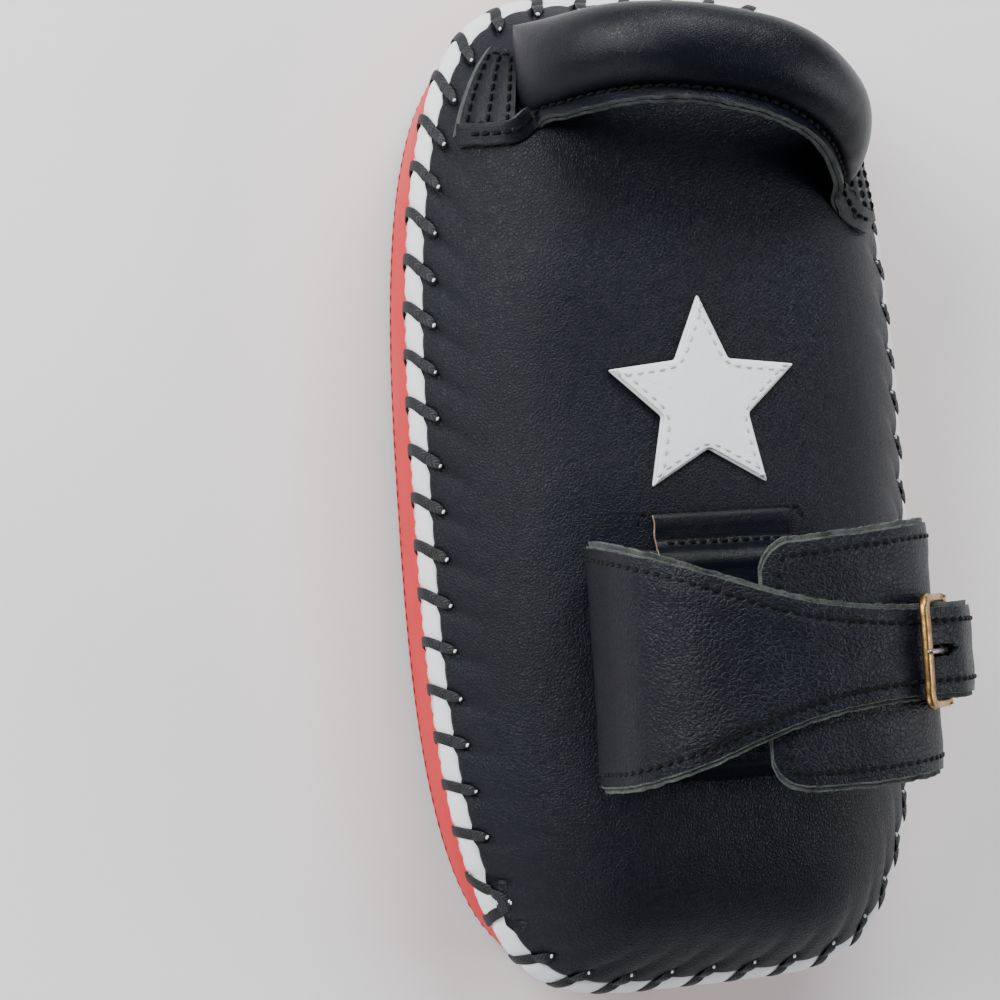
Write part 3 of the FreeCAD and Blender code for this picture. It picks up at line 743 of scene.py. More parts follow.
# ---------------------------------------------------------------- the padded body
BACK_RUNS = (-0.3, 0.1, 0.6, 1.2, 1.8, 2.4, 2.9, 3.4, 4.0, 4.7, 5.5, 6.5, 7.7, 9.2, 11.0, 13.0, 15.5, 18.5,
             22.0, 26.0, 30.5, 35.5, 41.0, 47.0, 53.0, 59.0, 65.0, 71.0, 77.0, 83.0, 89.0, 94.0)
COLUMNS_PER_LACE = 14


def rim_columns():
    count = sizes().lace_count * COLUMNS_PER_LACE
    return np.arange(count) / count


def back_swell(u, run, points):
    """How far the back leather stands off its even dome, in metres."""
    away = lace_distance(u, PANEL_EDGE_IN + run)
    hole = np.exp(-(away / 1.5) ** 2 - ((run - 2.6) / 1.4) ** 2)
    pull = np.exp(-(away / 3.0) ** 2) * np.exp(-(np.maximum(run - 2.6, 0) / 8.5) ** 2)
    between = np.cos(away * 2 * math.pi / 18.0) * np.exp(-np.abs(run) / 6.0)
    inside = np.clip((run - 8) / 25, 0, 1)
    slow = ripple(points, 0.085, 3) * 0.00075 * inside
    quick = ripple(points, 0.030, 4) * 0.00016 * np.clip((run - 4) / 10, 0, 1)
    return -0.0011 * hole - 0.0010 * pull - 0.00035 * between + slow + quick


def build_back():
    """Domed black back, one ply, dimpled where each lace goes in."""
    u = rim_columns()[None, :]
    run = np.array(BACK_RUNS)[:, None]
    leather_mm = sizes().leather / MM
    lift = np.full(run.shape, leather_mm)
    lift[0] = leather_mm * 0.45
    lift[1] = leather_mm * 0.85
    inset, z = dome_station(run, lift)
    outer = Rim().place(u, inset, z)
    up = normals_of(outer, True)
    up = np.where(up[..., 2:3] < 0, -up, up)
    outer = outer + up * back_swell(u, run, outer)[..., None]
    inset, z = dome_station(run, 0.0)
    inner = Rim().place(u, inset, z)
    piece = domed_shell("back_leather", outer, inner, hide("back_leather"))
    settle(piece, "pad", "black_leather", "back_panel")
    return piece


def build_face():
    """Striking face: a flat middle, a rolled edge and a short wall that the red leather laps over."""
    u = rim_columns()[None, ::2]
    outer_rows = np.array([(6.0, 18.0), (6.6, 13.5), (7.0, 9.0), (7.0, 6.6), (7.2, 4.6), (7.9, 2.9),
                           (9.0, 1.7), (10.4, 0.9), (12.2, 0.35), (14.4, 0.12), (18.0, 0.05), (26.0, 0.0),
                           (40.0, 0.0), (58.0, 0.0), (76.0, 0.0), (92.0, 0.0), (99.0, 0.0)])
    inset = outer_rows[:, :1]
    z = outer_rows[:, 1:]
    outer = Rim().place(u, inset, z)
    slow = np.abs(ripple(outer, 0.07, 8)) * 0.0006 * np.clip((inset - 8) / 12, 0, 1)
    outer[..., 2] += slow
    inner = Rim().place(u, inset + np.clip((14 - inset) / 4, 0, 1) * 1.7 + 0.1,
                        z + np.clip((inset - 5.6) / 4, 0.0, 1) * 1.7)
    piece = domed_shell("face_leather", outer, inner, hide("face_leather"))
    settle(piece, "pad", "black_leather", "striking_face")
    return piece


WALL_HEIGHTS = (9.0, 14.0, 19.5, 27.0, 34.0, 42.0, 50.2)
WALL_INSETS = (5.3, 4.6, 3.8, 2.7, 1.9, 1.5, 1.5)
WALL_SEAM_Z = 12.0
WALL_SEAM_IN = 5.25


def build_wall():
    """Red side wall, folded under at its lower edge and sewn to the face."""
    u = rim_columns()[None, ::2]
    heights = np.array([8.9, 9.2, 9.9, 11.0, 12.5, 14.5, 17.0, 20.0, 24.0, 28.5, 33.0, 37.5, 42.0, 46.0,
                        50.2])[:, None]
    inset = curve_through(WALL_HEIGHTS, WALL_INSETS, heights)
    inset[0] += 0.9
    inset[1] += 0.35
    outer = Rim().place(u, inset, heights)
    seam = np.exp(-((heights - WALL_SEAM_Z) / 1.6) ** 2) * 0.4
    folds = ripple(outer * np.array([1, 1, 0.35]), 0.035, 11) * 0.30
    folds = folds * np.clip((heights - WALL_SEAM_Z) / 10, 0, 1)
    outer = Rim().place(u, inset + seam + folds, heights)
    inner = Rim().place(u, inset + 1.5 + seam * 0.5, heights)
    piece = thick_sheet("red_wall", outer, inner, hide("side_leather", "side_leather"), True)
    settle(piece, "pad", "red_leather", "side_gusset")
    round_rim = np.linspace(0, 1, 1200)
    run = Rim().place(round_rim, WALL_SEAM_IN, WALL_SEAM_Z)
    sideways = np.cross(Rim().along(round_rim), (0.0, 0.0, 1.0))
    seam_thread = sew("face_stitching", [(run, sideways)], "red_thread", 0.005, 0.0036, slant=0.12)
    settle(seam_thread, "pad", "red_leather")
    return piece


STRANDS = 3
STRAND_OFFSET = 0.00155
STRAND_RADIUS = 0.00178
ROPE_LAY = 0.019


def build_rope():
    """Cotton rope of three twisted strands round the top of the wall."""
    rim = Rim()
    stations = 960
    sides = 9
    turns = int(round(rim.length / ROPE_LAY))
    u = np.arange(stations) / stations
    centre = rim.place(u, ROPE_IN, ROPE_Z)
    along = rim.along(u)
    out = np.cross(along, (0.0, 0.0, 1.0))
    up = np.array([0.0, 0.0, 1.0])
    points = []
    faces = []
    uvs = []
    for strand in range(STRANDS):
        phase = u * turns * 2 * math.pi + strand * 2 * math.pi / STRANDS
        middle = (centre + out * (np.cos(phase) * STRAND_OFFSET)[:, None]
                  + up * (np.sin(phase) * STRAND_OFFSET)[:, None])
        heading = np.roll(middle, -1, axis=0) - np.roll(middle, 1, axis=0)
        heading = heading / np.linalg.norm(heading, axis=1, keepdims=True)
        lean = np.cross(heading, up)
        lean = lean / np.linalg.norm(lean, axis=1, keepdims=True)
        rise = np.cross(lean, heading)
        start = len(points)
        for i in range(stations):
            for side in range(sides):
                turn = 2 * math.pi * side / sides
                outwards = lean[i] * math.cos(turn) + rise[i] * math.sin(turn)
                points.append(middle[i] + outwards * STRAND_RADIUS)
                uvs.append((u[i] * rim.length * 420, side * 3.0 / sides))
        faces += grid_faces(stations, sides, True, start)
        for side in range(sides):
            other = (side + 1) % sides
            last = start + (stations - 1) * sides
            faces.append((last + side, last + other, start + other, start + side))
    piece = add_object("rope", points, faces, [finish_of("cotton_rope")], uvs)
    return settle(piece, "pad", "cotton_rope", "rope_welt")


def build_binding():
    """White leather folded over the rope, pinched by each lace and puffed between them."""
    u = rim_columns()[None, :]
    rows = np.array([(1.0, 55.4), (-0.2, 55.5), (-0.9, 56.2), (-1.0, 57.3), (-0.6, 58.5), (0.2, 59.7),
                     (1.3, 60.9), (2.4, 61.8), (3.6, 62.3), (4.8, 62.4), (7.0, 62.0)])
    inset = rows[:, :1]
    z = rows[:, 1:]
    away = lace_distance(u, inset)
    puff = 1.0 - 1.9 * np.exp(-(away / 2.9) ** 2)
    puff = puff * np.clip((6.0 - inset) / 3.0, 0, 1)
    sag = np.clip(away / 9.0, -1, 1) * 0.25
    wobble = ripple(Rim().place(u, inset, z), 0.018, 21) * np.clip((4 - inset) / 4, 0, 1)
    facing = np.clip((inset + 1.2) / 5.0, 0, 1)
    outer = Rim().place(u, inset - (0.75 * puff + 0.22 * wobble) * (1 - facing) + sag * 0.3,
                        z + (0.70 * puff + 0.10 * wobble) * facing)
    inner = Rim().place(u, inset + (1 - facing) * 1.5 + 0.1, z - facing * 1.3 - 0.2)
    piece = thick_sheet("folded_binding", outer, inner, [finish_of("white_leather")], True)
    return settle(piece, "pad", "white_leather", "white_binding")


def lace_line():
    """Inner line of one lace stitch, from its hole in the back to the wall: (inset, z)."""
    over_panel = [dome_station(run, sizes().leather / MM + lift)
                  for run, lift in ((2.9, -1.6), (2.5, -0.5), (1.8, 0.1), (0.9, 0.15), (0.0, -0.1))]
    over_rim = [(3.0, 62.4), (1.7, 61.3), (0.5, 60.0), (-0.4, 58.4), (-0.9, 56.6), (-1.2, 54.6),
                (-0.9, 52.4), (0.2, 50.6), (1.6, 49.2), (3.2, 48.4)]
    return np.array([(float(a), float(b)) for a, b in over_panel] + over_rim)


LACE_HALF_T = 0.00045
# how far round the rim, as a share of its length, two stitches meet in one hole
SHARED_HOLE = 0.632


def build_lacing():
    """Flat braided lace whipped over the edge, and the worn white ring at each hole."""
    rim = Rim()
    count = sizes().lace_count
    line = lace_line()
    steps = np.concatenate([[0.0], np.cumsum(np.hypot(*np.diff(line, axis=0).T))])
    fine = np.linspace(0, steps[-1], 26)
    line = np.stack([curve_through(steps, line[:, 0], fine), curve_through(steps, line[:, 1], fine)], axis=1)
    rng = np.random.default_rng(57)
    sides = 12
    points = []
    faces = []
    uvs = []
    half_w = sizes().lace_width / 2
    half_t = LACE_HALF_T
    sharing = int(round(count * SHARED_HOLE))
    holes = []
    for k in range(count):
        lean_more = rng.normal(0, 0.04)
        width = half_w * rng.uniform(0.92, 1.08)
        roll = rng.normal(0, 0.06)
        shift = {sharing: 0.46, sharing + 1: -0.46}.get(k, 0.0)
        start = len(points)
        share = fine / fine[-1]
        hole_shift = (shift * (1 - np.clip((share - 0.035) * 1.6, 0, 1))
                      + (0.0 if shift else lean_more) * (0.5 - share))
        u = (k + 0.5 + hole_shift) / count + line[:, 0] * MM / rim.length
        path = rim.place(u, line[:, 0], line[:, 1])
        heading = np.gradient(path, axis=0)
        heading = heading / np.linalg.norm(heading, axis=1, keepdims=True)
        along = rim.along(u)
        across = along - heading * np.sum(along * heading, axis=1, keepdims=True)
        across = across / np.linalg.norm(across, axis=1, keepdims=True)
        out = np.cross(across, heading)
        out = np.where(np.sum(out * np.array([0, 0, 1.0]), axis=1, keepdims=True)[:1] < 0, -out, out)
        onward = unit(path[2] - path[6])
        holes.append((path[2], unit(out[3] + out[4]), onward))
        for i in range(len(path)):
            pinch = (1 - 0.5 * math.exp(-(share[i] / 0.07) ** 2)
                     - 0.3 * math.exp(-((1 - share[i]) / 0.07) ** 2))
            for side in range(sides):
                turn = 2 * math.pi * side / sides
                c = math.copysign(abs(math.cos(turn)) ** 0.45, math.cos(turn))
                s = math.copysign(abs(math.sin(turn)) ** 0.6, math.sin(turn))
                crown = 1 + 0.25 * (1 - abs(c)) * (s > 0)
                points.append(path[i] + across[i] * (c * width * pinch + roll * 0.001 * s)
                              + out[i] * (half_t + s * half_t * crown))
                uvs.append((fine[i] / 1.25, (c + 1) / 2))
        faces += tube_faces(len(path), sides, start)
    piece = add_object("lace", points, faces, [finish_of("braided_lace")], uvs)
    settle(piece, "pad", "lace", "edge_lacing")
    build_hole_rings(holes)
    return piece


OVAL_LONG = 0.00115
OVAL_SHORT = 0.0007


def build_hole_rings(holes):
    """Pale worn oval just past each lace hole, where the white core shows."""
    points = []
    faces = []
    rng = np.random.default_rng(12)
    for centre, normal, onward in holes:
        onward = unit(onward - normal * np.dot(onward, normal))
        side = np.cross(normal, onward)
        aside = side * rng.choice([-1.0, 1.0]) * 0.1
        long_way = unit(onward * 0.5 + aside + np.array([0.0, 0.9, 0.0]))
        long_way = unit(long_way - normal * np.dot(long_way, normal))
        short_way = np.cross(normal, long_way)
        middle = centre + onward * 0.0020 + normal * 0.0004
        start = len(points)
        size = rng.uniform(0.6, 0.85)
        for ring, rise in ((1.0, -0.0007), (0.85, 0.0001), (0.45, 0.0003)):
            for step in range(12):
                turn = 2 * math.pi * step / 12
                around = long_way * math.cos(turn) * OVAL_LONG + short_way * math.sin(turn) * OVAL_SHORT
                points.append(middle + around * ring * size + normal * rise)
        faces += tube_faces(3, 12, start)
    piece = add_object("lace_holes", points, faces, [finish_of("white_leather")])
    return settle(piece, "pad", "white_leather")


# ---------------------------------------------------------------- star patch
PATCH_Y = 0.031
PATCH_INNER = 0.47


def star_outline(scale, count=16):
    """Five-pointed star, its points and inner corners slightly rounded."""
    radius = sizes().badge_radius * scale
    corners = []
    for index in range(10):
        reach = radius if index % 2 == 0 else radius * PATCH_INNER
        turn = math.radians(90 + 36 * index)
        corners.append(np.array([reach * math.cos(turn), reach * math.sin(turn)]))
    outline = []
    for index in range(10):
        before, here, after = corners[index - 1], corners[index], corners[(index + 1) % 10]
        cut = 0.05 if index % 2 == 0 else 0.04
        first = here + (before - here) * cut
        last = here + (after - here) * cut
        for t in (0.0, 0.25, 0.5, 0.75, 1.0):
            outline.append(first * (1 - t) ** 2 + here * 2 * t * (1 - t) + last * t ** 2)
        following = after + (here - after) * cut
        for t in np.linspace(0, 1, count)[1:-1]:
            outline.append(last * (1 - t) + following * t)
    return np.array(outline)


def star_inset(distance):
    """The star's outline moved in by a distance, point by point along its normal."""
    line = star_outline(1.0)
    step = np.roll(line, -1, axis=0) - np.roll(line, 1, axis=0)
    normal = np.stack([-step[:, 1], step[:, 0]], axis=1)
    normal /= np.linalg.norm(normal, axis=1, keepdims=True)
    moved = line + normal * distance
    for _ in range(int(distance * 4000)):
        moved = (np.roll(moved, 1, axis=0) + moved * 2 + np.roll(moved, -1, axis=0)) / 4
    return moved


def star_ply(name, low, high, grow, finish):
    """One ply of the patch, lying on the dome."""
    levels = [(grow, low), (grow, (low + high) / 2), (grow + 0.0001, high - 0.00035),
              (grow + 0.0004, high - 0.0001), (grow + 0.0009, high)]
    rings = []
    for distance, lift in levels:
        line = star_outline(1.0) if distance <= 0 else star_inset(distance)
        rings.append(on_dome(line[:, 0], line[:, 1] + PATCH_Y, np.full(len(line), lift))[0])
    base = star_inset(levels[-1][0])
    for scale in (0.86, 0.7, 0.5, 0.3, 0.12):
        line = base * scale
        dip = ripple(np.concatenate([line, line[:, :1] * 0], axis=1), 0.03, 5) * 0.00012
        rings.append(on_dome(line[:, 0], line[:, 1] + PATCH_Y, high + dip)[0])
    rings = np.array(rings)
    rows, cols = rings.shape[:2]
    centre = on_dome(np.zeros(1), np.array([PATCH_Y]), np.array([high]))[0]
    points = np.concatenate([rings.reshape(-1, 3), centre])
    faces = grid_faces(rows, cols, True)
    last = (rows - 1) * cols
    faces += [(last + c, last + (c + 1) % cols, len(points) - 1) for c in range(cols)]
    bottom = rings[0].copy()
    middle = bottom.mean(axis=0)
    points = np.concatenate([points, middle[None, :]])
    faces += [((c + 1) % cols, c, len(points) - 1) for c in range(cols)]
    return add_object(name, points, faces, [finish_of(finish)])


def build_patch():
    """White star patch of two plies, sewn down just inside its edge."""
    bottom = sizes().leather + 0.0002
    under = star_ply("star_patch_base", bottom, bottom + 0.0012, 0.0, "white_leather")
    settle(under, "pad", "white_leather", "star_badge")
    top = star_ply("star_patch_top", bottom + 0.0011, bottom + 0.0025, 0.0007, "white_leather")
    settle(top, "pad", "white_leather")
    line = star_inset(0.0031)
    line = np.concatenate([line, line[:1]])
    seam, up = on_dome(line[:, 0], line[:, 1] + PATCH_Y, np.full(len(line), bottom + 0.0025))
    stitches = sew("star_stitching", [(seam, up)], "white_thread", 0.0046, 0.0030, 0.00040)
    return settle(stitches, "pad", "white_leather")


# ---------------------------------------------------------------- handle
GRIP_END_X = (-62.5, 74.0)
GRIP_COURSE = ((-66.0, 161.0), (-44.0, 162.6), (-7.0, 161.0), (27.0, 153.6), (52.0, 143.0), (76.0, 127.5))
GRIP_CROWN_Z = 139.0
GRIP_HALF_Y = 16.4
GRIP_HALF_Z = 13.6
GRIP_FLARE = 5.6
TAB_THICK = 3.6
TAB_IN = PANEL_EDGE_IN + LACE_HOLE_RUN + 0.4
TAB_LEFT = (-74.0, 155.5, -10.0, 20.0, 36.0)
TAB_RIGHT = (81.5, 124.6, 6.0, 21.0, 46.0)


def grip_path(share):
    """Centre of the roll, and its half sizes, in metres, at share from -1 (left) to 1 (right)."""
    share = np.asarray(share, float)
    reach = np.abs(share)
    left, right = GRIP_END_X
    x = (left + right) / 2 + share * (right - left) / 2
    y = curve_through([p[0] for p in GRIP_COURSE], [p[1] for p in GRIP_COURSE], x)
    foot, _ = on_dome(x * MM, y * MM, np.full(x.shape, sizes().leather + (TAB_THICK - 0.4) * MM))
    end_z = np.where(share < 0, foot[np.argmin(share), 2], foot[np.argmax(share), 2])
    level = end_z + (GRIP_CROWN_Z * MM - end_z) * (1 - reach ** 3.0)
    from_end = (1 - reach) * (right - left) / 2
    pinch = np.sqrt(np.clip(1 - np.clip(1 - from_end / 19.0, 0, 1) ** 2, 0.012, 1))
    half_y = (GRIP_HALF_Y + GRIP_FLARE * np.exp(-from_end / 6.5) * np.where(share < 0, 0.3, 0.0)) * MM
    half_z = GRIP_HALF_Z * MM * pinch
    return np.stack([x * MM, y * MM, level], axis=1), half_y, half_z


def grip_frames(share):
    """Centre, half sizes and the two directions of each section, square to the path."""
    centre, half_y, half_z = grip_path(share)
    along = np.gradient(centre, axis=0) * np.array([1.0, 0.32, 0.62])
    along /= np.linalg.norm(along, axis=1, keepdims=True)
    up = np.array([0.0, 0.0, 1.0]) - along * along[:, 2:3]
    up /= np.linalg.norm(up, axis=1, keepdims=True)
    side = np.cross(up, along)
    return centre, half_y, half_z, side, up


def grip_surface(share, turn, grow=0.0):
    """Points and normals of the roll's leather; turn 0 faces the far end, pi faces the cuff."""
    centre, half_y, half_z, side, up = grip_frames(share)
    c = np.sign(np.cos(turn)) * np.abs(np.cos(turn)) ** 0.92
    s = np.sin(turn)
    ring = (side[:, None] * (c * (half_y[:, None] + grow))[..., None]
            + up[:, None] * (s * (half_z[:, None] + grow))[..., None])
    out = (side[:, None] * (c / half_y[:, None])[..., None]
           + up[:, None] * (s / half_z[:, None])[..., None])
    out /= np.linalg.norm(out, axis=-1, keepdims=True)
    return centre[:, None] + ring, out


def build_roll():
    """Padded hand grip: a leather tube over foam that flattens into its end tabs."""
    share = np.sin(np.linspace(-1, 1, 101) * math.pi / 2)
    turn = np.linspace(0, 2 * math.pi, 56, endpoint=False)[None, :]
    outer, out = grip_surface(share, turn)
    reach = np.abs(share)[:, None]
    swell = ripple(outer, 0.055, 31) * 0.00055
    creases = np.sin(share[:, None] * 64 + 1.4 * np.sin(turn * 2)) * 0.00030
    creases = creases * np.clip((reach - 0.62) / 0.3, 0, 1) * np.clip(-np.cos(turn - 0.4), 0, 1)
    seam = -0.0012 * np.exp(-((turn - math.pi) / 0.22) ** 2)
    outer = outer + out * (swell + creases + seam)[..., None]
    inner = outer - out * (sizes().leather * 0.8)
    piece = thick_sheet("handle_roll", outer, inner, hide("handle_leather"), True)
    settle(piece, "pad", "black_leather", "handle_cover", "handle_foam")
    return piece


SEAM_STITCH = {"pitch": 0.0046, "length": 0.0038, "radius": 0.00070}
TAB_STITCH = {"pitch": 0.0043, "length": 0.0034, "radius": 0.00065}
FLANGE_REACH = 7.0
FLANGE_END_X = (-84.0, 86.0)
FLANGE_ON_TABS = ((-84.0, 141.6), (-76.0, 140.4), (-67.0, 140.8), (-60.0, 146.0),
                  (70.0, 109.0), (76.0, 106.0), (86.0, 103.6))


def flange_line():
    """Where the flange leaves the roll or a tab, its direction outwards and the way it faces."""
    x = np.linspace(FLANGE_END_X[0], FLANGE_END_X[1], 130)
    left, right = GRIP_END_X
    order = np.linspace(-0.99, 0.99, 199)
    on_roll, _ = grip_surface(order, np.full((1, 1), math.pi + 0.02), -0.0008)
    on_roll = on_roll[:, 0]
    roll_y = np.interp(x * MM, on_roll[:, 0], on_roll[:, 1])
    roll_z = np.interp(x * MM, on_roll[:, 0], on_roll[:, 2])
    tab_y = curve_through([p[0] for p in FLANGE_ON_TABS], [p[1] for p in FLANGE_ON_TABS], x) * MM
    inward = np.clip(np.minimum(x - (left - 3), right + 3 - x) / 14.0, 0, 1)
    inward = inward * inward * (3 - 2 * inward)
    y = tab_y * (1 - inward) + roll_y * inward
    low, _ = on_dome(x * MM, y, np.full(x.shape, sizes().leather + (TAB_THICK - 0.8) * MM))
    z = low[:, 2] * (1 - inward) + np.maximum(roll_z, low[:, 2]) * inward
    root = np.stack([x * MM, y, z], axis=1)
    heading = np.gradient(root, axis=0)
    heading /= np.linalg.norm(heading, axis=1, keepdims=True)
    lift = np.array([0.0, 0.0, 1.0]) - heading * heading[:, 2:3]
    lift /= np.linalg.norm(lift, axis=1, keepdims=True)
    away = np.cross(heading, lift)
    away = np.where(away[:, 1:2] > 0, -away, away)
    tilt = (math.radians(-8) + math.radians(36) * inward)[:, None]
    lean = away * np.cos(tilt) + lift * np.sin(tilt)
    face = lift * np.cos(tilt) - away * np.sin(tilt)
    return root, lean, face


def build_flange():
    """The two raw-edged plies along the roll and both tabs, sewn together where they leave the roll."""
    root, out, up = flange_line()
    share = np.linspace(-1, 1, len(root))
    wander = np.sin(share * 9) * 0.0005 + np.sin(share * 23 + 1) * 0.0003
    reach = FLANGE_REACH * MM + wander
    plies = []
    for index, (low, high) in enumerate(((0.0001, 0.0020), (-0.0018, -0.0001))):
        across = np.array([-0.0020, 0.0, 0.25, 0.5, 0.75, 0.93, 1.0])
        frayed = 0.0002 * np.sin(share * 61 + index) + 0.00015 * np.sin(share * 143 + index * 2)
        grids = []
        for lift in (high, low):
            rows = []
            for a in across:
                distance = np.full(share.shape, a) if a < 0 else a * (reach + index * 0.0003 + frayed)
                rows.append(root + out * distance[:, None] + up * (lift + wander * 0.4)[:, None])
            grids.append(np.array(rows))
        name = ("handle_flange_top", "handle_flange_under")[index]
        ply = thick_sheet(name, grids[0], grids[1], hide("handle_leather"))
        plies.append(soften(ply, 0.0005))
    settle(plies[0], "pad", "black_leather", "handle_flange")
    settle(plies[1], "pad", "black_leather")
    seam = root + out * 0.0022 + up * (0.0021 + wander * 0.4)[:, None]
    stitches = sew("handle_stitching", [(seam[3:-3], up[3:-3])], "black_thread", **SEAM_STITCH)
    return settle(stitches, "pad", "black_leather")


def tab_point(place, across, along):
    """Point in plan on a tab; across and along are in millimetres from its middle."""
    x, y, lean = place[:3]
    turn = math.radians(lean)
    px = x + across * math.cos(turn) - along * math.sin(turn)
    py = y + across * math.sin(turn) + along * math.cos(turn)
    limit = ((sizes().half_width / MM - TAB_IN)
             * np.clip(1 - np.abs(py / (sizes().half_length / MM - TAB_IN)) ** END_POWER, 0, 1)
             ** (1 / SIDE_POWER))
    return px, py, limit


def build_tab(name, place, node):
    """Sewn-down end of the handle, two plies, with three columns of stitches and a row at each end."""
    outward = math.copysign(1.0, place[0])
    half = place[3] / 2
    length = place[4]
    rows = np.concatenate([[-1.0, -0.985, -0.94], np.linspace(-0.88, 0.88, 17), [0.94, 0.985, 1.0]])
    cols = np.concatenate([[-1.0, -0.96, -0.88], np.linspace(-0.72, 0.72, 9), [0.88, 0.96, 1.0]])
    along = (rows * length / 2)[:, None] * np.ones((1, len(cols)))
    corner = np.clip((np.abs(rows) - 0.90) / 0.10, 0, 1)[:, None] ** 2 * 1.6

    def plan(across_share, lengthwise, narrow):
        px, py, limit = tab_point(place, across_share * (half - narrow), lengthwise)
        near = tab_point(place, -outward * (half - narrow), lengthwise)[0]
        far = tab_point(place, outward * (half - narrow), lengthwise)[0]
        stop = outward * np.minimum(outward * far, limit)
        share = (px - near) / (far - near)
        return near + (stop - near) * share, py

    layers = []
    for low, high, narrow in ((0.0, 0.0017, 0.0), (0.0017, TAB_THICK * MM, 0.5)):
        px, py = plan(cols[None, :], along * (1 - narrow / 22), corner + narrow)
        base = sizes().leather + 0.0001
        bulge = ripple(np.stack([px, py, px * 0], axis=-1) * MM, 0.02, 14) * 0.00015
        if narrow:
            columns = np.cos((cols[None, :] - 0.38) * 2 * math.pi / 0.75)
            bulge = bulge + 0.00035 * columns * (np.abs(cols[None, :]) < 0.8)
        top = on_dome(px * MM, py * MM, base + high + bulge)[0]
        bottom = on_dome(px * MM, py * MM, np.full(px.shape, base + low))[0]
        suffix = "_top" if narrow else "_base"
        ply = thick_sheet(name + suffix, top, bottom, hide("handle_leather"))
        layers.append(soften(ply, 0.0005))
    settle(layers[0], "pad", "black_leather", node)
    settle(layers[1], "pad", "black_leather")
    runs = []
    line = np.linspace(-1, 1, 40)
    for column in (-0.74, 0.02, 0.74):
        px, py = plan(np.full(40, column), line * (length / 2 - 3.6) + 0.8, 0.5)
        runs.append(on_dome(px * MM, py * MM, np.full(40, base + TAB_THICK * MM)))
    for row in (-1.0, 1.0):
        px, py = plan(line * 0.74, np.full(40, row * (length / 2 - 3.6) + 0.8), 0.5)
        runs.append(on_dome(px * MM, py * MM, np.full(40, base + TAB_THICK * MM)))
    stitches = sew(name + "_stitching", runs, "black_thread", **TAB_STITCH)
    return settle(stitches, "pad", "black_leather")


# ---------------------------------------------------------------- forearm cuff
def cuff_point(degrees, lift):
    """Point in XZ at this height above the cuff's inner surface, in metres."""
    turn = math.radians(degrees)
    c = math.cos(turn)
    s = math.sin(turn)
    power = CUFF_POWER if s >= 0 else CUFF_BASE_POWER
    scale = (abs(c) ** power + abs(s) ** power) ** (-1 / power)
    x = c * scale
    z = s * scale
    nx = math.copysign(abs(x) ** (power - 1) / CUFF_HALF_W, x)
    nz = math.copysign(abs(z) ** (power - 1) / CUFF_HALF_H, z)
    size = math.hypot(nx, nz)
    across = x * CUFF_HALF_W + nx / size * lift
    height = CUFF_Z + z * CUFF_HALF_H + nz / size * lift
    return np.array([across * MM, height * MM])


LEFT_FOLD = 0.10
LEFT_FOLD_X = -0.02


class Strap:
    """A strap's course round the cuff, resampled evenly along its length."""

    def __init__(self, route, spacing=0.0016):
        nodes = np.array([cuff_point(degrees, lift) for degrees, lift in route])
        steps = np.concatenate([[0.0], np.cumsum(np.hypot(*np.diff(nodes, axis=0).T))])
        count = int(steps[-1] / spacing)
        self.travel = np.linspace(0, steps[-1], count)
        self.x = curve_through(steps, nodes[:, 0], self.travel)
        self.x = self.x + np.clip(LEFT_FOLD_X - self.x, 0.0, None) * LEFT_FOLD
        self.z = curve_through(steps, nodes[:, 1], self.travel)
        dx = np.gradient(self.x)
        dz = np.gradient(self.z)
        size = np.hypot(dx, dz)
        turn = np.sign(np.mean(self.x * dz - (self.z - CUFF_Z * MM) * dx))
        self.out = np.stack([dz / size, np.zeros(count), -dx / size], axis=1) * turn

    def grid(self, top, low, across, lift):
        """Points across the strap between its two edges; lift is in metres above the inner face."""
        y = top[None, :] + (low - top)[None, :] * across[:, None]
        x = np.broadcast_to(self.x, y.shape)
        z = np.broadcast_to(self.z, y.shape)
        lift = np.broadcast_to(lift, y.shape)
        return np.stack([x, y, z], axis=-1) + self.out[None] * lift[..., None]


ACROSS = np.concatenate([[0.0, 0.008, 0.02], np.linspace(0.04, 0.96, 27), [0.98, 0.992, 1.0]])


LININGS = {"under_flap": "under_flap_lining", "cuff_band": "cuff_lining", "tongue_tip": "tongue_tip_lining"}
# name, lower and upper face in millimetres, slot, and how many rows of raw fibres show at each edge
PLIES = (("outer", 1.95, 3.7, "strap_leather", 1), ("lining", 0.0, 1.85, "suede_lining", 3))


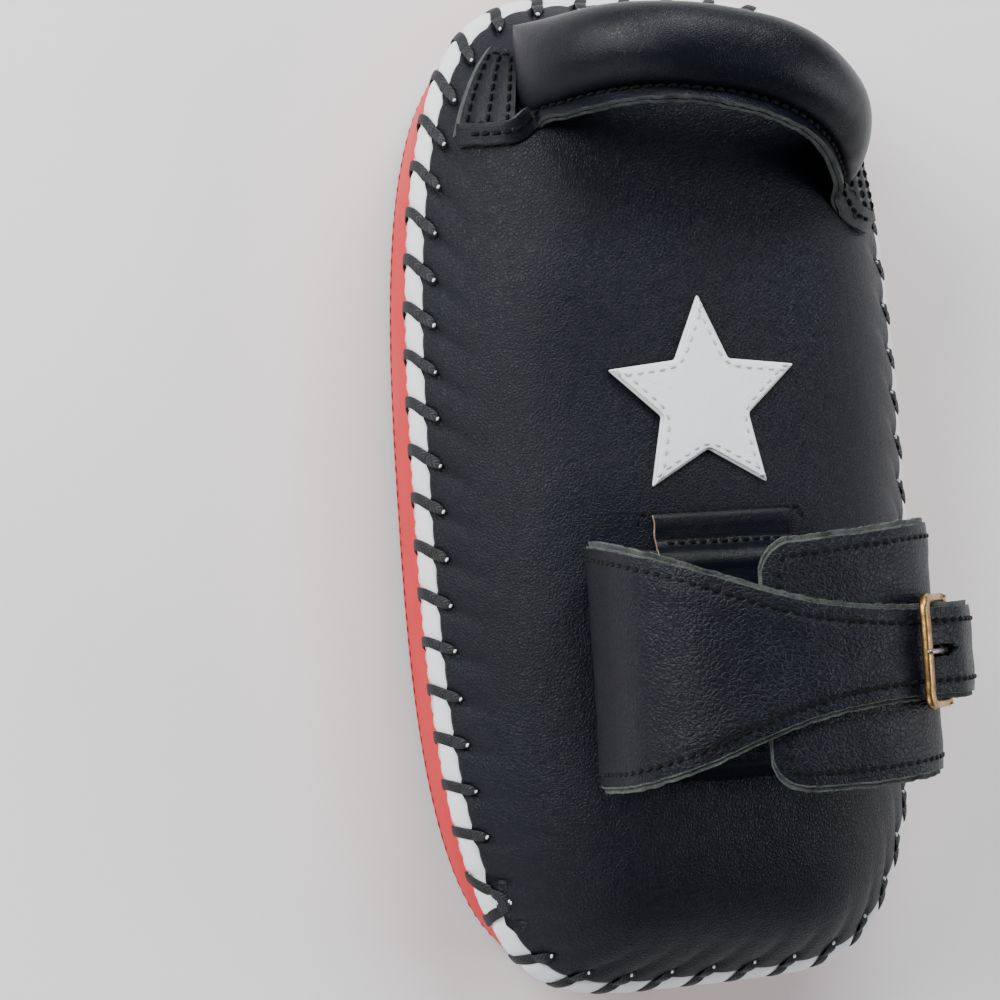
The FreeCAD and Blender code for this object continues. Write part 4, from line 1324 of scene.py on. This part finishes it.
def strap_plies(name, strap, top, low, nodes, seed, keep=None):
    """Outer ply and lining of one strap, each bent round the cuff along its course."""
    for part, below, above, slot, raw_rows in PLIES:
        base = strap.grid(top, low, ACROSS, 0.0)
        edge = np.minimum(ACROSS, 1 - ACROSS)[:, None] * np.abs(top - low)[None, :] / MM
        swell = (ripple(base * np.array([1.0, 0.6, 1.0]), 0.022, seed) * 0.30
                 + ripple(base, 0.009, seed + 1) * 0.10)
        puff = 0.35 * np.exp(-((edge - 9.0) / 5.0) ** 2) - 0.45 * np.exp(-((edge - 5.0) / 0.9) ** 2)
        curl = 0.7 * np.exp(-(edge / 2.2) ** 2)
        frayed = ripple(base[0], 0.005, seed + 2) * 0.00022 + ripple(base[0], 0.0022, seed + 3) * 0.00014
        if part == "outer":
            upper = top - 0.0005 + frayed
            lower = low + 0.0005 + frayed
            over = swell + puff - curl * 0.4
            under = swell * 0.3 - curl * 0.3
            face = "strap_leather"
            replaced = nodes
        else:
            upper = top + 0.0012 + frayed * 1.6
            lower = low - 0.0012 + frayed * 1.6
            over = swell * 0.3 + curl * 0.8
            under = curl * 0.5
            face = "suede"
            replaced = [LININGS[node] for node in nodes]
        outer = strap.grid(upper, lower, ACROSS, (above + over) * MM)
        inner = strap.grid(upper, lower, ACROSS, (below + under) * MM)
        piece = holed_sheet("%s_%s" % (name, part), outer, inner, hide(face), keep, raw_rows)
        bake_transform(piece)
        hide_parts(*replaced)


def holed_sheet(name, outer, inner, materials, keep=None, raw_rows=0):
    """Sheet between two grids with some cells left open, and a cut edge round each opening."""
    rows, cols = outer.shape[:2]
    if keep is None:
        keep = np.ones((rows - 1, cols - 1), bool)
    count = rows * cols
    faces = []
    marks = []
    for r in range(rows - 1):
        for c in range(cols - 1):
            if not keep[r, c]:
                continue
            a, b = r * cols + c, r * cols + c + 1
            d, e = (r + 1) * cols + c + 1, (r + 1) * cols + c
            faces.append((a, b, d, e))
            marks.append(2 if r < raw_rows or r >= rows - 1 - raw_rows else 0)
            faces.append((count + e, count + d, count + b, count + a))
            marks.append(1)
            sides = (((-1, 0), (a, b)), ((1, 0), (d, e)), ((0, -1), (e, a)), ((0, 1), (b, d)))
            for (dr, dc), (p, q) in sides:
                nr, nc = r + dr, c + dc
                inside = 0 <= nr < rows - 1 and 0 <= nc < cols - 1 and keep[nr, nc]
                if not inside:
                    faces.append((p, q, count + q, count + p))
                    marks.append(2)
    points = np.concatenate([outer.reshape(-1, 3), inner.reshape(-1, 3)])
    piece = add_object(name, points, faces, materials, None, marks)
    work = bmesh.new()
    work.from_mesh(piece.data)
    loose = [v for v in work.verts if not v.link_faces]
    bmesh.ops.delete(work, geom=loose, context="VERTS")
    work.to_mesh(piece.data)
    work.free()
    return soften(piece, 0.0004)


def by_x(xs, ys):
    """Edge of a strap, in metres, as a smooth function of x in millimetres."""
    order = np.argsort(xs)
    xs = np.asarray(xs, float)[order]
    ys = np.asarray(ys, float)[order]
    return lambda x: curve_through(xs, ys, np.asarray(x, float)) * MM


FOLD_EASE = 22.0


def across_fold(strap, upper, base, beyond=None):
    """Edge of a strap: base underneath, upper on top and wherever beyond is true, eased round the fold."""
    share = np.clip((strap.z / MM - CUFF_Z + FOLD_EASE) / (2 * FOLD_EASE), 0, 1)
    share = share * share * (3 - 2 * share)
    if beyond is not None:
        share = np.where(beyond, 1.0, share)
    return upper * share + base * (1 - share)


def waist(x):
    """How much narrower each edge of the band is at this x, in millimetres."""
    return CUFF_WAIST * np.clip(1 - (np.asarray(x, float) / CUFF_HALF_W) ** 2, 0, 1)


FLAP_END_X = -16.0
FLAP_CORNER = 13.0
TONGUE_CORNER = 0.007
STRAP_ROUTE = ((-180, 0.0), (-194, 0.7), (-210, 2.0), (-228, 3.4), (-246, 4.1), (-262, 4.2), (-278, 4.2),
               (-294, 4.2), (-306, 4.2), (-315.5, 5.7), (-322, 8.1), (-328.5, 11.5), (-332, 12.2),
               (-335.8, 12.9), (-344, 14.8), (-352, 16.4), (-359, 17.5))


def flap_side():
    """The half of the cuff from the flap's free end round the right fold to the middle of its base."""
    route = [(104.3 - k * 194.3 / 24, 0.0) for k in range(25)]
    strap = Strap(route)
    x = strap.x / MM
    over = strap.z > CUFF_Z * MM
    upper_top = by_x((-16, -3, 20, 38, 52, 62, 66), (-27.6, -27.0, -25.4, -24.0, -22.8, -22.2, -22))
    upper_low = by_x((-16, -3, 10, 38, 52, 62, 66), (-115.6, -116.4, -116.8, -116.4, -115.6, -115, -115))
    top = across_fold(strap, upper_top(x), (CUFF_TOP_Y - waist(x)) * MM)
    low = across_fold(strap, upper_low(x), (CUFF_LOW_Y + waist(x)) * MM)
    near = np.clip((x - FLAP_END_X) / FLAP_CORNER, 0, 1)
    corner = np.where(over, FLAP_CORNER * (1 - np.sqrt(np.clip(1 - (1 - near) ** 2, 0, 1))), 0.0) * MM
    return strap, top - corner, low + corner


def tongue_side():
    """The half from the middle of the base round the left fold, over the top and out to the tongue."""
    route = [(-90 - k * 90 / 11, 0.0) for k in range(11)] + list(STRAP_ROUTE)
    strap = Strap(route)
    x = strap.x / MM
    half = TONGUE_W / 2
    tongue_top = TONGUE_Y + half
    tongue_low = TONGUE_Y - half
    upper_top = by_x((-70, -65, -52, -35, -18, 0, 20, 40, 62, 88),
                     (-22.5, -23.6, -29.6, -37.0, -43.6, -49.0, -52.4, tongue_top, tongue_top, tongue_top))
    upper_low = by_x((-70, -65, -52, -35, -18, 0, 20, 40, 62, 88),
                     (-115, -114.8, -110.2, -103.5, -96.7, -91.5, -88.3, tongue_low, tongue_low, tongue_low))
    top = across_fold(strap, upper_top(x), (CUFF_TOP_Y - waist(x)) * MM, x > 0)
    low = across_fold(strap, upper_low(x), (CUFF_LOW_Y + waist(x)) * MM, x > 0)
    left = strap.travel[-1] - strap.travel
    near = np.clip(left / TONGUE_CORNER, 0, 1)
    corner = TONGUE_CORNER * (1 - np.sqrt(np.clip(1 - (1 - near) ** 2, 0, 1)))
    return strap, top - corner, low + corner


HEEL = np.insert(cuff_point(HEEL_DEG, HEEL_LIFT), 1, TONGUE_Y * MM)
FRONT = np.insert(cuff_point(FRONT_DEG, FRONT_LIFT), 1, TONGUE_Y * MM)
REACH = float(np.linalg.norm(FRONT - HEEL))
BUCKLE_X = (FRONT - HEEL) / REACH
BUCKLE_Y = np.array([0.0, 1.0, 0.0])
BUCKLE_OUT = np.cross(BUCKLE_Y, BUCKLE_X)
BUCKLE_OUT = BUCKLE_OUT * np.sign(BUCKLE_OUT[2])


def at_buckle(x, y, out):
    """Point given from the heel bar: x towards the front bar, y across, out away from the cuff."""
    return HEEL + BUCKLE_X * x + BUCKLE_Y * y + BUCKLE_OUT * out


SLOT_START = 0.0046
SLOT_END = 0.0118
SLOT_HALF_W = 0.0024


def slot_cells(strap, top, low):
    """Which cells of the tongue stay: all but the oblong slot for the prong."""
    y = top[None, :] + (low - top)[None, :] * ACROSS[:, None]
    centre_x = (strap.x[1:] + strap.x[:-1]) / 2
    centre_z = (strap.z[1:] + strap.z[:-1]) / 2
    along = (centre_x - HEEL[0]) * BUCKLE_X[0] + (centre_z - HEEL[2]) * BUCKLE_X[2]
    away = (centre_x - HEEL[0]) * BUCKLE_OUT[0] + (centre_z - HEEL[2]) * BUCKLE_OUT[2]
    across = (y[1:, 1:] + y[:-1, :-1]) / 2 - TONGUE_Y * MM
    beyond = np.maximum(np.maximum(SLOT_START - along, along - SLOT_END), 0.0)[None, :]
    inside = np.hypot(beyond, across) < SLOT_HALF_W
    near = (np.abs(away) < 0.012)[None, :]
    return ~(inside & near)


CUFF_STITCH = {"pitch": 0.0044, "length": 0.0037, "radius": 0.00075, "slant": 0.18}
CUFF_SEAM_IN = 0.0056
CUFF_SEAM_LIFT = 0.00345


def build_cuff():
    """Forearm cuff: two straps of two plies, with lines of stitching just inside their edges."""
    strap, top, low = flap_side()
    strap_plies("cuff_flap", strap, top, low, ["under_flap"], 41)
    flap_thread = sew("flap_stitching", flap_runs(strap, top, low), "black_thread", **CUFF_STITCH)
    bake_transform(flap_thread)

    strap, top, low = tongue_side()
    keep = slot_cells(strap, top, low)
    strap_plies("cuff_strap", strap, top, low,
                ["cuff_band", "tongue_tip"], 47, keep)
    runs = edge_runs(strap, top, low, slice(0, len(strap.travel) - 5))
    strap_thread = sew("strap_stitching", runs, "black_thread", **CUFF_STITCH)
    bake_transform(strap_thread)


def edge_runs(strap, top, low, part):
    """Stitch lines along both edges of a strap, over part of its length."""
    runs = []
    for line in (top - CUFF_SEAM_IN, low + CUFF_SEAM_IN):
        points = np.stack([strap.x, line, strap.z], axis=1) + strap.out * CUFF_SEAM_LIFT
        runs.append((points[part], strap.out[part]))
    return runs


def flap_runs(strap, top, low):
    """Stitch lines along both edges of the flap, and one across its free end."""
    first = 4
    y = np.linspace(top[first] - CUFF_SEAM_IN, low[first] + CUFF_SEAM_IN, 30)
    end = np.stack([np.full(30, strap.x[first]), y, np.full(30, strap.z[first])], axis=1)
    end = end + strap.out[first] * CUFF_SEAM_LIFT
    across = (end[1:-1], np.tile(strap.out[first], (28, 1)))
    return edge_runs(strap, top, low, slice(first, None)) + [across]


BRIDGE_SIDES = (-25.0, 32.0)
# the patch from its upper end to its lower one: y and height of its underside, in millimetres
BRIDGE_PROFILE = ((-12.5, 99.4), (-13.6, 101.0), (-15.5, 101.5), (-20.0, 101.5), (-24.2, 101.9),
                  (-26.6, 103.6), (-28.4, 106.0), (-30.5, 107.2), (-36.0, 107.3), (-70.0, 107.3),
                  (-103.0, 107.3), (-106.6, 107.1), (-108.8, 106.0), (-110.8, 103.4), (-112.6, 101.6),
                  (-113.6, 101.0), (-114.6, 99.4))
BRIDGE_STITCH = {"pitch": 0.0044, "length": 0.0036, "radius": 0.00070}


def build_bridge():
    """Patch that holds the cuff down: it comes up through the back and is sewn across three times."""
    ys = np.array([point[0] for point in BRIDGE_PROFILE])
    zs = np.array([point[1] for point in BRIDGE_PROFILE])
    line = np.linspace(ys[0], ys[-1], 150)
    z = curve_through(-ys, zs, -line)
    left, right = BRIDGE_SIDES
    x = np.concatenate([[left, left + 0.4], np.linspace(left + 1, right - 1, 25), [right - 0.4, right]])
    grid = np.stack(np.broadcast_arrays(x[None, :], line[:, None], z[:, None]), axis=-1) * MM
    grid[..., 0] += (np.sin(line * 0.7)[:, None] * 0.00025 + np.sin(line * 0.23)[:, None] * 0.0003)
    slope = np.gradient(z, line)
    out = np.stack([slope * 0, -slope, slope * 0 + 1], axis=1)
    out /= np.linalg.norm(out, axis=1, keepdims=True)
    swell = ripple(grid, 0.02, 61) * 0.00022
    outer = grid + out[:, None] * (0.0018 + swell)[..., None]
    inner = grid + out[:, None] * 0.00005
    piece = thick_sheet("strap_bridge", outer, inner, hide("handle_leather", "tan_edge"))
    soften(piece, 0.0004)
    settle(piece, "pad", "black_leather", "strap_bridge")
    up = (0.0, 0.0, 1.0)

    def on_back(xs, ys):
        """Stitch line on the back leather, through points given in millimetres."""
        return on_dome(xs * MM, ys * MM, np.full(len(xs), sizes().leather + 0.0002))[0], up

    runs = [on_back(np.linspace(left - 6, right + 6, 30), np.full(30, -12.2))]
    second = np.full(30, -24.0)
    height = np.full(30, np.interp(24.0, -line, z) + 1.8)
    runs.append((np.stack([np.linspace(left + 4, right - 4, 30), second, height], axis=1) * MM, up))
    runs.append(on_back(np.linspace(left - 3, right + 3, 30), np.full(30, -114.8)))
    for side in (left - 6, right + 6):
        runs.append(on_back(np.full(8, side), np.linspace(-12.5, -17.5, 8)))
    stitches = sew("bridge_stitching", runs, "black_thread", **BRIDGE_STITCH)
    settle(stitches, "pad", "black_leather")


# ---------------------------------------------------------------- buckle
def bar_section(turn, half_a, half_b, power):
    c = math.copysign(abs(math.cos(turn)) ** power, math.cos(turn)) * half_a
    s = math.copysign(abs(math.sin(turn)) ** power, math.sin(turn)) * half_b
    return c, s


def build_frame():
    """Cast brass frame: a round heel bar, two arms and a broad front bar, slightly bowed."""
    inner = 0.0175
    arm = 0.0034
    front = 0.0058
    mid_y = inner + arm / 2
    corner = 0.0048
    plan = []
    for side in (1, -1):
        leg = [(px, mid_y) for px in (-0.0004, 0.004, 0.008, 0.012, REACH - corner - 0.001)]
        bend = [(REACH - corner + corner * math.sin(t), mid_y - corner + corner * math.cos(t))
                for t in np.radians([10, 25, 40, 55, 70, 85])]
        across = [(REACH + 0.0005 * (1 - (y / 0.012) ** 2), y) for y in (0.011, 0.007, 0.0035)]
        half = leg + bend + across
        if side == 1:
            plan += half + [(REACH + 0.0005, 0.0)]
        else:
            plan += [(px, -py) for px, py in reversed(half)]
    plan = np.array(plan)
    steps = np.concatenate([[0.0], np.cumsum(np.hypot(*np.diff(plan, axis=0).T))])
    travel = np.linspace(0, steps[-1], 120)
    px = curve_through(steps, plan[:, 0], travel)
    py = curve_through(steps, plan[:, 1], travel)
    bow = 0.0007 * np.clip(px / REACH, 0, 1) ** 2 * (1 - (py / 0.022) ** 2)
    path = np.array([at_buckle(a, b, c) for a, b, c in zip(px, py, bow)])
    sides = 16
    broad = np.clip((px - (REACH - 0.0052)) / 0.004, 0, 1)

    def ring(i):
        before = path[max(0, i - 1)]
        after = path[min(len(path) - 1, i + 1)]
        along = unit(after - before)
        flat = unit(np.cross(BUCKLE_OUT, along))
        half_a = (arm + (front - arm) * broad[i]) / 2
        half_b = 0.00160
        dent = 1 + 0.008 * math.sin(i * 0.9) + 0.005 * math.sin(i * 2.3)
        section = []
        for k in range(sides):
            c, s = bar_section(2 * math.pi * (k + 0.5) / sides, half_a * dent, half_b, 0.62)
            section.append(path[i] + flat * c + BUCKLE_OUT * s)
        return section

    points, faces = sweep_rings(path, sides, ring)
    heel_path = np.array([at_buckle(0.0, y, 0.0) for y in np.linspace(-mid_y - 0.001, mid_y + 0.001, 24)])

    def heel_ring(i):
        radius = 0.00172 + 0.0003 * max(0.0, abs(heel_path[i][1] - TONGUE_Y * MM) - 0.0165) / 0.002
        return [heel_path[i] + BUCKLE_X * math.cos(t) * radius + BUCKLE_OUT * math.sin(t) * radius
                for t in np.linspace(0, 2 * math.pi, 14, endpoint=False)]

    more, more_faces = sweep_rings(heel_path, 14, heel_ring, start=len(points))
    piece = add_object("buckle_frame_cast", np.concatenate([points, more]), faces + more_faces,
                       [finish_of("antique_brass")])
    return settle(piece, "buckle", "brass", "buckle_frame")


def build_prong():
    """Steel wire prong: an eye round the heel bar and a tongue that tapers over the front bar."""
    sides = 12
    length = REACH + 0.0046
    travel = np.linspace(0.0021, length, 30)
    rise = curve_through([0.0021, 0.006, REACH - 0.003, REACH, REACH + 0.0028, length],
                         [0.0004, 0.0014, 0.0032, 0.0035, 0.0030, 0.0015], travel)
    path = np.array([at_buckle(s, 0.0, up) for s, up in zip(travel, rise)])

    def ring(i):
        share = travel[i] / length
        tip = math.sqrt(max(0.02, 1 - max(0.0, (share - 0.94) / 0.06) ** 2))
        radius = 0.0012 * (1 - 0.22 * share) * tip
        flat = unit(np.cross(BUCKLE_Y, path[min(len(path) - 1, i + 1)] - path[max(0, i - 1)]))
        return [path[i] + BUCKLE_Y * math.cos(t) * radius + flat * math.sin(t) * radius * 0.92
                for t in np.linspace(0, 2 * math.pi, sides, endpoint=False)]

    points, faces = sweep_rings(path, sides, ring)
    start = len(points)
    eye = []
    section = [(-0.0017, 0.00184), (-0.0010, 0.00181), (0.0, 0.00181), (0.0010, 0.00181), (0.0017, 0.00184),
               (0.00182, 0.0022), (0.0016, 0.0027), (0.0009, 0.0029), (0.0, 0.0029), (-0.0009, 0.0029),
               (-0.0016, 0.0027), (-0.00182, 0.0022)]
    turns = 36
    for step in range(turns):
        angle = 2 * math.pi * step / turns
        for y, radius in section:
            eye.append(at_buckle(math.cos(angle) * radius, y, math.sin(angle) * radius))
    rows = len(section)
    for step in range(turns):
        other = (step + 1) % turns
        for k in range(rows):
            nxt = (k + 1) % rows
            faces.append((start + step * rows + k, start + step * rows + nxt,
                          start + other * rows + nxt, start + other * rows + k))
    piece = add_object("buckle_prong_wire", np.concatenate([points, np.array(eye)]), faces,
                       [finish_of("steel")])
    return settle(piece, "prong", "steel", "buckle_prong")


def build_chape():
    """Leather loop round the heel bar, its two tails sewn on the cuff's right-hand fold."""
    ply = 0.0016
    seat = 3.9
    middle = 0.0019 + ply / 2
    top = [cuff_point(a, b) for a, b in ((-7.0, 6.0), (2.0, 6.0), (12.0, 6.0), (18.0, 6.7), (23.0, 8.4))]
    low = [cuff_point(24.0, seat + 0.7)] + [cuff_point(a, seat + 0.8) for a in (17.0, 9.0, 2.0, -8.0)]
    heel = np.array([HEEL[0], HEEL[2]])
    along = np.array([BUCKLE_X[0], BUCKLE_X[2]])
    out = np.array([BUCKLE_OUT[0], BUCKLE_OUT[2]])
    loop = [heel + (out * math.cos(t) + along * math.sin(t)) * middle
            for t in np.radians(np.arange(-10, 191, 20))]
    line = np.array(top + loop + low)
    steps = np.concatenate([[0.0], np.cumsum(np.hypot(*np.diff(line, axis=0).T))])
    travel = np.linspace(0, steps[-1], 110)
    x = curve_through(steps, line[:, 0], travel)
    z = curve_through(steps, line[:, 1], travel)
    dx, dz = np.gradient(x), np.gradient(z)
    size = np.hypot(dx, dz)
    normal = np.stack([-dz / size, 0 * dx, dx / size], axis=1)
    if np.dot(normal[20], BUCKLE_OUT) < 0:
        normal = -normal
    half = 0.01675
    y = np.concatenate([[-1.0, -0.97], np.linspace(-0.93, -0.20, 9), [-0.165, 0.165],
                        np.linspace(0.20, 0.93, 9), [0.97, 1.0]]) * half
    grid = np.stack(np.broadcast_arrays(x[None, :], y[:, None] + TONGUE_Y * MM, z[None, :]), axis=-1)
    outer = grid + normal[None] * ply / 2
    inner = grid - normal[None] * ply / 2
    mid_x = (x[1:] + x[:-1]) / 2 - HEEL[0]
    mid_z = (z[1:] + z[:-1]) / 2 - HEEL[2]
    near = np.hypot(mid_x, mid_z) < 0.0052
    gap = np.zeros(len(y) - 1, bool)
    gap[np.searchsorted(y, -0.165 * half)] = True
    keep = ~(gap[:, None] & near[None, :])
    piece = holed_sheet("buckle_chape_loop", outer, inner, hide("strap_leather"), keep)
    settle(piece, "pad", "strap_leather", "buckle_chape")
    runs = []
    for index in (4, 22):
        run = np.stack([np.full(20, x[index]), TONGUE_Y * MM + np.linspace(-0.86, 0.86, 20) * half,
                        np.full(20, z[index])], axis=1) + normal[index] * ply / 2
        runs.append((run, normal[index]))
    settle(sew("chape_stitching", runs, "black_thread", 0.0042, 0.0031, 0.0005), "pad", "strap_leather")


def build_filling():
    """Foam finish for the slabs inside the pad."""
    for name in ("strike_foam", "core_foam", "back_foam"):
        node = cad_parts[name]
        node.data.materials.clear()
        node.data.materials.append(finish_of("foam"))


# ---------------------------------------------------------------- stage
def soft_light(name, place, aim, size, power, colour=(1.0, 1.0, 1.0)):
    light = bpy.data.lights.new(name, "AREA")
    light.shape = "RECTANGLE"
    light.size, light.size_y = size
    light.energy = power
    light.color = colour
    lamp = bpy.data.objects.new(name, light)
    lamp.location = place
    lamp.rotation_euler = (Vector(aim) - Vector(place)).to_track_quat("-Z", "Y").to_euler()
    bpy.context.scene.collection.objects.link(lamp)
    return lamp


def build_stage():
    """Pale floor, soft studio light and the camera."""
    stage = bpy.context.scene.pad_stage
    size = 6.0
    corners = [(-size, -size, 0.0), (size, -size, 0.0), (size, size, 0.0), (-size, size, 0.0)]
    floor = add_object("floor", [Vector(c) - Vector((0, 0, 0.0005)) for c in corners], [(0, 1, 2, 3)],
                       [finish_of("studio_floor")])
    key = stage.key
    soft_light("key_light", (-1.35, 0.75, 1.15), (0.0, 0.0, 0.05), (0.9, 0.9), key * 1.5)
    soft_light("top_light", (0.15, 1.35, 1.2), (0.0, 0.05, 0.08), (1.1, 0.6), key * 1.1)
    soft_light("side_light", (1.5, -0.25, 0.9), (0.05, -0.05, 0.1), (0.9, 1.1), key * 0.55)
    soft_light("low_light", (-1.1, -1.35, 0.7), (0.0, 0.0, 0.05), (1.0, 0.8), key * 0.35)
    world = bpy.context.scene.world or bpy.data.worlds.new("studio")
    bpy.context.scene.world = world
    world.use_nodes = True
    background = world.node_tree.nodes.get("Background") or world.node_tree.nodes.new("ShaderNodeBackground")
    background.inputs["Color"].default_value = (0.92, 0.94, 1.0, 1.0)
    background.inputs["Strength"].default_value = 0.13

    yaw, pitch, roll = stage.yaw, stage.pitch, stage.roll
    back = Vector((-math.sin(yaw) * math.cos(pitch), -math.sin(pitch), math.cos(yaw) * math.cos(pitch)))
    level_up = (Vector((0, 1, 0)) - back * back.y).normalized()
    level_right = level_up.cross(back)
    right = level_right * math.cos(roll) - level_up * math.sin(roll)
    up = back.cross(right)
    camera = bpy.data.objects.new("camera", bpy.data.cameras.new("camera"))
    turn = Matrix((right, up, back)).transposed().to_4x4()
    camera.matrix_world = Matrix.Translation(Vector(stage.aim) + back * stage.distance) @ turn
    camera.data.sensor_width = 36.0
    camera.data.lens = stage.focal
    camera.data.clip_start = 0.02
    camera.data.clip_end = 50.0
    bpy.context.scene.collection.objects.link(camera)
    bpy.context.scene.camera = camera


# ---------------------------------------------------------------- operators
def run_builders(*builders):
    """Runs each builder in turn."""
    for builder in builders:
        builder()
    return {"FINISHED"}


class PAD_OT_body(bpy.types.Operator):
    """Build the padded body: domed back, striking face, red wall and the foam inside"""

    bl_idname = "pad.body"
    bl_label = "Padded body"

    def execute(self, context):
        return run_builders(build_back, build_face, build_wall, build_filling)


class PAD_OT_rim(bpy.types.Operator):
    """Build the rim: cotton rope, white binding and the whipped lace"""

    bl_idname = "pad.rim"
    bl_label = "Laced rim"

    def execute(self, context):
        return run_builders(build_rope, build_binding, build_lacing)


class PAD_OT_patch(bpy.types.Operator):
    """Build the white star patch"""

    bl_idname = "pad.patch"
    bl_label = "Star patch"

    def execute(self, context):
        return run_builders(build_patch)


class PAD_OT_handle(bpy.types.Operator):
    """Build the hand grip, its flange and its two end tabs"""

    bl_idname = "pad.handle"
    bl_label = "Hand grip"

    def execute(self, context):
        build_roll()
        build_flange()
        build_tab("tab_left", TAB_LEFT, "handle_tab_left")
        build_tab("tab_right", TAB_RIGHT, "handle_tab_right")
        return {"FINISHED"}


class PAD_OT_cuff(bpy.types.Operator):
    """Build the forearm cuff and the patch that holds it down"""

    bl_idname = "pad.cuff"
    bl_label = "Forearm cuff"

    def execute(self, context):
        return run_builders(build_cuff, build_bridge)


class PAD_OT_buckle(bpy.types.Operator):
    """Build the brass buckle, its steel prong and the leather loop that holds it"""

    bl_idname = "pad.buckle"
    bl_label = "Buckle"

    def execute(self, context):
        return run_builders(build_frame, build_prong, build_chape)


class PAD_OT_stage(bpy.types.Operator):
    """Set up the floor, the soft lights and the camera"""

    bl_idname = "pad.stage"
    bl_label = "Stage"

    def execute(self, context):
        return run_builders(build_stage)


class PAD_PT_panel(bpy.types.Panel):
    """Sizes, colours and build steps"""

    bl_idname = "PAD_PT_panel"
    bl_label = "Thai Pad"
    bl_space_type = "VIEW_3D"
    bl_region_type = "UI"
    bl_category = "Thai Pad"

    def draw(self, context):
        column = self.layout.column()
        for group in (context.scene.pad_sizes, context.scene.pad_colours, context.scene.pad_stage):
            for name in group.__annotations__:
                column.prop(group, name)
            column.separator()
        for operator in OPERATORS:
            column.operator(operator.bl_idname)


GROUPS = (("pad_sizes", PadSizes), ("pad_colours", PadColours), ("pad_stage", PadStage))
OPERATORS = (PAD_OT_body, PAD_OT_rim, PAD_OT_patch, PAD_OT_handle, PAD_OT_cuff, PAD_OT_buckle, PAD_OT_stage)


def register():
    for name, group in GROUPS:
        bpy.utils.register_class(group)
        setattr(bpy.types.Scene, name, PointerProperty(type=group))
    for operator in OPERATORS:
        bpy.utils.register_class(operator)
    bpy.utils.register_class(PAD_PT_panel)


def unregister():
    bpy.utils.unregister_class(PAD_PT_panel)
    for operator in reversed(OPERATORS):
        bpy.utils.unregister_class(operator)
    for name, group in reversed(GROUPS):
        delattr(bpy.types.Scene, name)
        bpy.utils.unregister_class(group)


def main():
    register()
    bpy.ops.pad.body()
    bpy.ops.pad.rim()
    bpy.ops.pad.patch()
    bpy.ops.pad.handle()
    bpy.ops.pad.cuff()
    bpy.ops.pad.buckle()
    bpy.ops.pad.stage()


if __name__ == "__main__":
    main()
